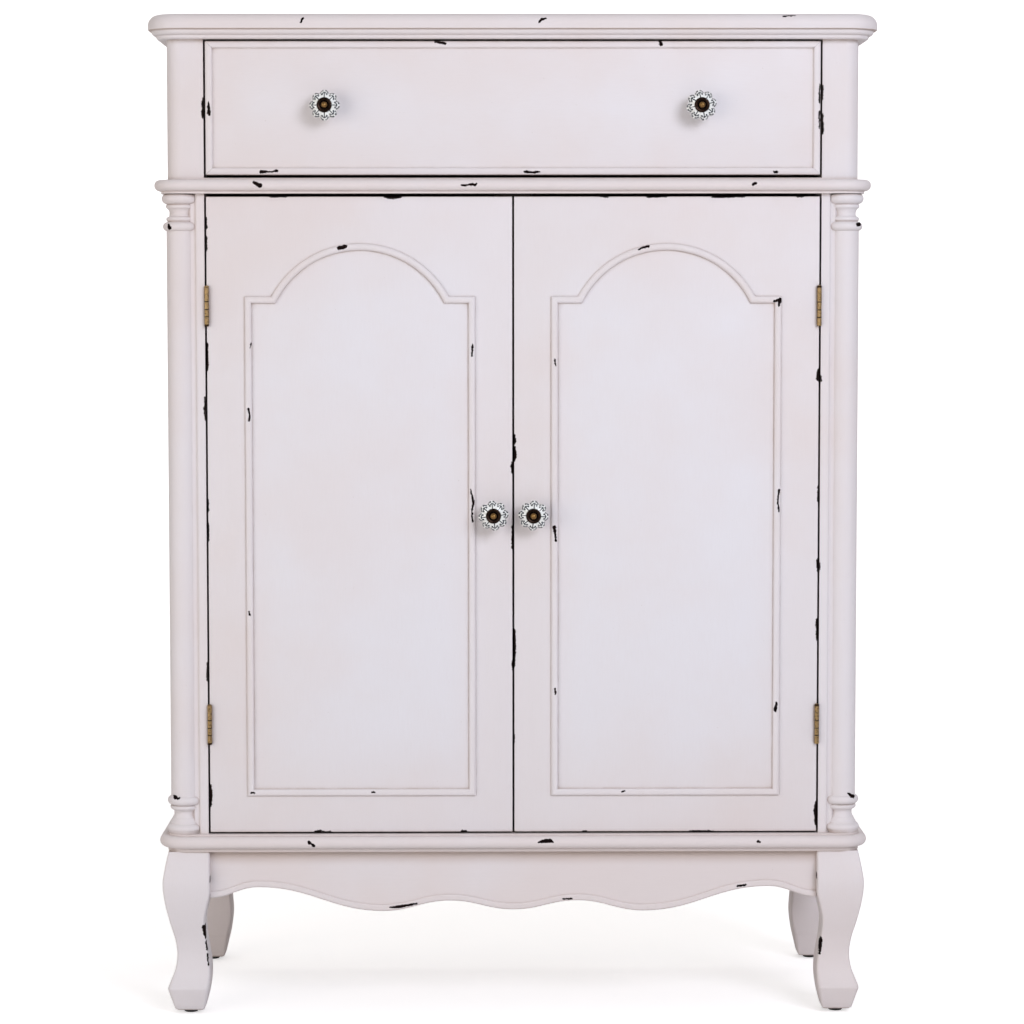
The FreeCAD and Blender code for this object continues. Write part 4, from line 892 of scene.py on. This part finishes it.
def make_knob(name, node, body, centre_x, centre_z, tilt, around=192):
    """An eight-lobed glazed head with its sprigs, turned by tilt degrees. Its UV map ignores the turn."""
    turn_by = math.radians(tilt)
    rows, flat_places = [], []
    for radius, depth in smooth_knob_section():
        row = []
        for k in range(around):
            angle = math.tau * k / around
            r, d = lobed(radius, depth, angle)
            flat_places.append((r * math.cos(angle), r * math.sin(angle)))
            x = centre_x + r * math.cos(angle + turn_by)
            z = centre_z + r * math.sin(angle + turn_by)
            row.append((x, FACE - d, z))
        rows.append(row)
    data = bmesh.new()
    uv_layer = data.loops.layers.uv.new("front")
    skin(rows, close_rows=True, cap=True, into=data)
    place_of = dict(zip(data.verts, flat_places))
    for face in data.faces:
        for loop in face.loops:
            x, z = place_of[loop.vert]
            loop[uv_layer].uv = (x / UV_SCALE, z / UV_SCALE)
    finish_mesh(name, data, petal_glaze, body, [node] if node else [], sharp=80.0)


def lathe(section, centres, around=64):
    """Turned rings about the Y axis, one at each centre: section is a closed (radius, depth) outline."""
    data = bmesh.new()
    angles = [math.tau * k / around for k in range(around)]
    for centre_x, centre_z in centres:
        rows = [
            [(centre_x + radius * math.cos(a), FACE - depth, centre_z + radius * math.sin(a)) for a in angles]
            for radius, depth in section
        ]
        skin(rows, close_rows=True, close_ends=True, into=data)
    return data


ROSETTE_RADIUS = 9.0
ROSETTE = [
    (8.9, 31.5), (ROSETTE_RADIUS, 31.9), (8.8, 32.5), (8.3, 32.9), (7.6, 33.05), (6.9, 32.9), (6.4, 32.55),
    (6.0, 32.5), (5.6, 32.8), (5.2, 32.6), (5.0, 32.1), (4.8, 31.75), (4.3, 31.65), (2.3, 31.65), (2.3, 31.5),
]


def make_rosettes(name, node, body, centres):
    """The bronze rings round the bolt heads, in place of their CAD node."""
    finish_mesh(name, lathe(ROSETTE, centres), knob_bronze, body, [node])


def knob_centre(node):
    """The middle of a node's front view: its X and Z."""
    low, high = box_mm(node)
    return (low.x + high.x) / 2, (low.z + high.z) / 2


for side, tilt in (("left", 7.0), ("right", -4.0)):
    node = f"{side}_door_knob"
    x, z = knob_centre(node + "_rosette")
    make_knob(f"{side}_door_petals", node, f"{side}_door", x, z, tilt)
    make_rosettes(f"{side}_door_rosette", node + "_rosette", f"{side}_door", [(x, z)])
drawer_knob_x = box_mm("drawer_knob_rosettes")[1].x - ROSETTE_RADIUS
drawer_knob_z = knob_centre("drawer_knob_rosettes")[1]
make_knob("drawer_left_petals", "drawer_knobs", "drawer", -drawer_knob_x, drawer_knob_z, 0.0)
make_knob("drawer_right_petals", None, "drawer", drawer_knob_x, drawer_knob_z, 12.0)
centres = [(hand * drawer_knob_x, drawer_knob_z) for hand in HANDS.values()]
make_rosettes("drawer_rosettes", "drawer_knob_rosettes", "drawer", centres)


# ---------------------------------------------------------------- floor, light, camera
def pale(name, colour, rough, glow):
    """A pale studio surface, lit up in the picture only, so that it throws no extra light on the piece."""
    graph = Graph(name)
    speck = graph.noise(graph.place(), 90.0, 3.0)
    shade = graph.mix(graph.ramp(speck, 0.3, 0.7, 0.0, 0.04), colour, tuple(0.9 * c for c in colour))
    graph.surface(shade, rough)
    plain = graph.output.inputs["Surface"].links[0].from_socket
    lit = graph.add("ShaderNodeEmission")
    seen = graph.add("ShaderNodeLightPath").outputs["Is Camera Ray"]
    graph.feed(lit.inputs["Strength"], graph.math("MULTIPLY", seen, glow))
    both = graph.add("ShaderNodeAddShader")
    graph.feed(both.inputs[0], plain)
    graph.feed(both.inputs[1], lit.outputs[0])
    graph.feed(graph.output.inputs["Surface"], both.outputs[0])
    return graph.material


def make_backdrop():
    """A pale floor that sweeps up behind into a wall."""
    front, back, bend, top, half = -6500.0, 2600.0, 1800.0, 6500.0, 7500.0
    steps = 24
    line = [(front, 0.0), (back, 0.0)]
    for k in range(1, steps + 1):
        turn = math.pi / 2 * k / steps
        line.append((back + bend * math.sin(turn), bend * (1 - math.cos(turn))))
    line.append((back + bend, top))
    data = skin([[(x, y, z) for y, z in line] for x in (half, -half)])
    for face in data.faces:
        face.smooth = True
    mesh = bpy.data.meshes.new("floor")
    data.to_mesh(mesh)
    data.free()
    floor = bpy.data.objects.new("floor", mesh)
    bpy.context.collection.objects.link(floor)
    floor.data.materials.append(pale("pale_floor", (0.80, 0.78, 0.77), 0.9, 0.55))


def softbox(name, place, aim, wide, tall, power, colour):
    """A rectangular lamp at a place, turned to its aim."""
    light = bpy.data.lights.new(name, "AREA")
    light.shape = "RECTANGLE"
    light.size, light.size_y = wide, tall
    light.energy = power
    light.color = colour
    lamp = bpy.data.objects.new(name, light)
    bpy.context.collection.objects.link(lamp)
    lamp.location = place
    lamp.rotation_euler = (Vector(aim) - Vector(place)).to_track_quat("-Z", "Y").to_euler()


def make_light():
    """A cool key from the right, a warm fill from the left, and a lamp on the wall behind."""
    world = bpy.data.worlds.new("studio")
    bpy.context.scene.world = world
    world.use_nodes = True
    background = world.node_tree.nodes["Background"]
    background.inputs["Color"].default_value = (0.98, 0.98, 1.0, 1.0)
    # The world looks white to the camera and lights the piece less than half as much.
    seen = world.node_tree.nodes.new("ShaderNodeLightPath").outputs["Is Camera Ray"]
    strength = world.node_tree.nodes.new("ShaderNodeMapRange")
    strength.inputs["To Min"].default_value = 0.45
    strength.inputs["To Max"].default_value = 1.0
    world.node_tree.links.new(seen, strength.inputs["Value"])
    world.node_tree.links.new(strength.outputs[0], background.inputs["Strength"])
    middle = (0.0, 0.0, 0.62)
    softbox("key", (1.55, -3.0, 2.1), middle, 1.5, 1.4, 61.5, (0.875, 0.905, 1.03))
    softbox("fill", (-2.5, -2.8, 0.8), middle, 2.7, 2.2, 43.0, (1.0, 0.935, 0.865))
    softbox("backdrop_glow", (0.0, 2.3, 3.7), (0.0, 4.4, 1.0), 5.0, 1.5, 50.0, (1.0, 1.0, 1.0))
    bpy.context.scene.view_settings.view_transform = "Standard"


def make_camera():
    """In front and a little to the left, level with the upper doors, with a long lens."""
    eye = Vector((-31.8, -3865.2, 866.0)) * MM
    yaw, pitch, roll = 0.00816, 0.06917, -0.00068
    level = math.cos(pitch)
    forward = Vector((math.sin(yaw) * level, math.cos(yaw) * level, -math.sin(pitch)))
    flat_right = Vector((math.cos(yaw), -math.sin(yaw), 0.0))
    flat_up = flat_right.cross(forward)
    right = flat_right * math.cos(roll) + flat_up * math.sin(roll)
    up = flat_up * math.cos(roll) - flat_right * math.sin(roll)
    data = bpy.data.cameras.new("camera")
    data.sensor_width = 36.0
    data.lens = 109.04
    data.clip_end = 100.0
    camera = bpy.data.objects.new("camera", data)
    bpy.context.collection.objects.link(camera)
    turn = [[right[i], up[i], -forward[i]] for i in range(3)]
    camera.matrix_world = Matrix.Translation(eye) @ Matrix(turn).to_4x4()
    bpy.context.scene.camera = camera


make_backdrop()
make_light()
make_camera()
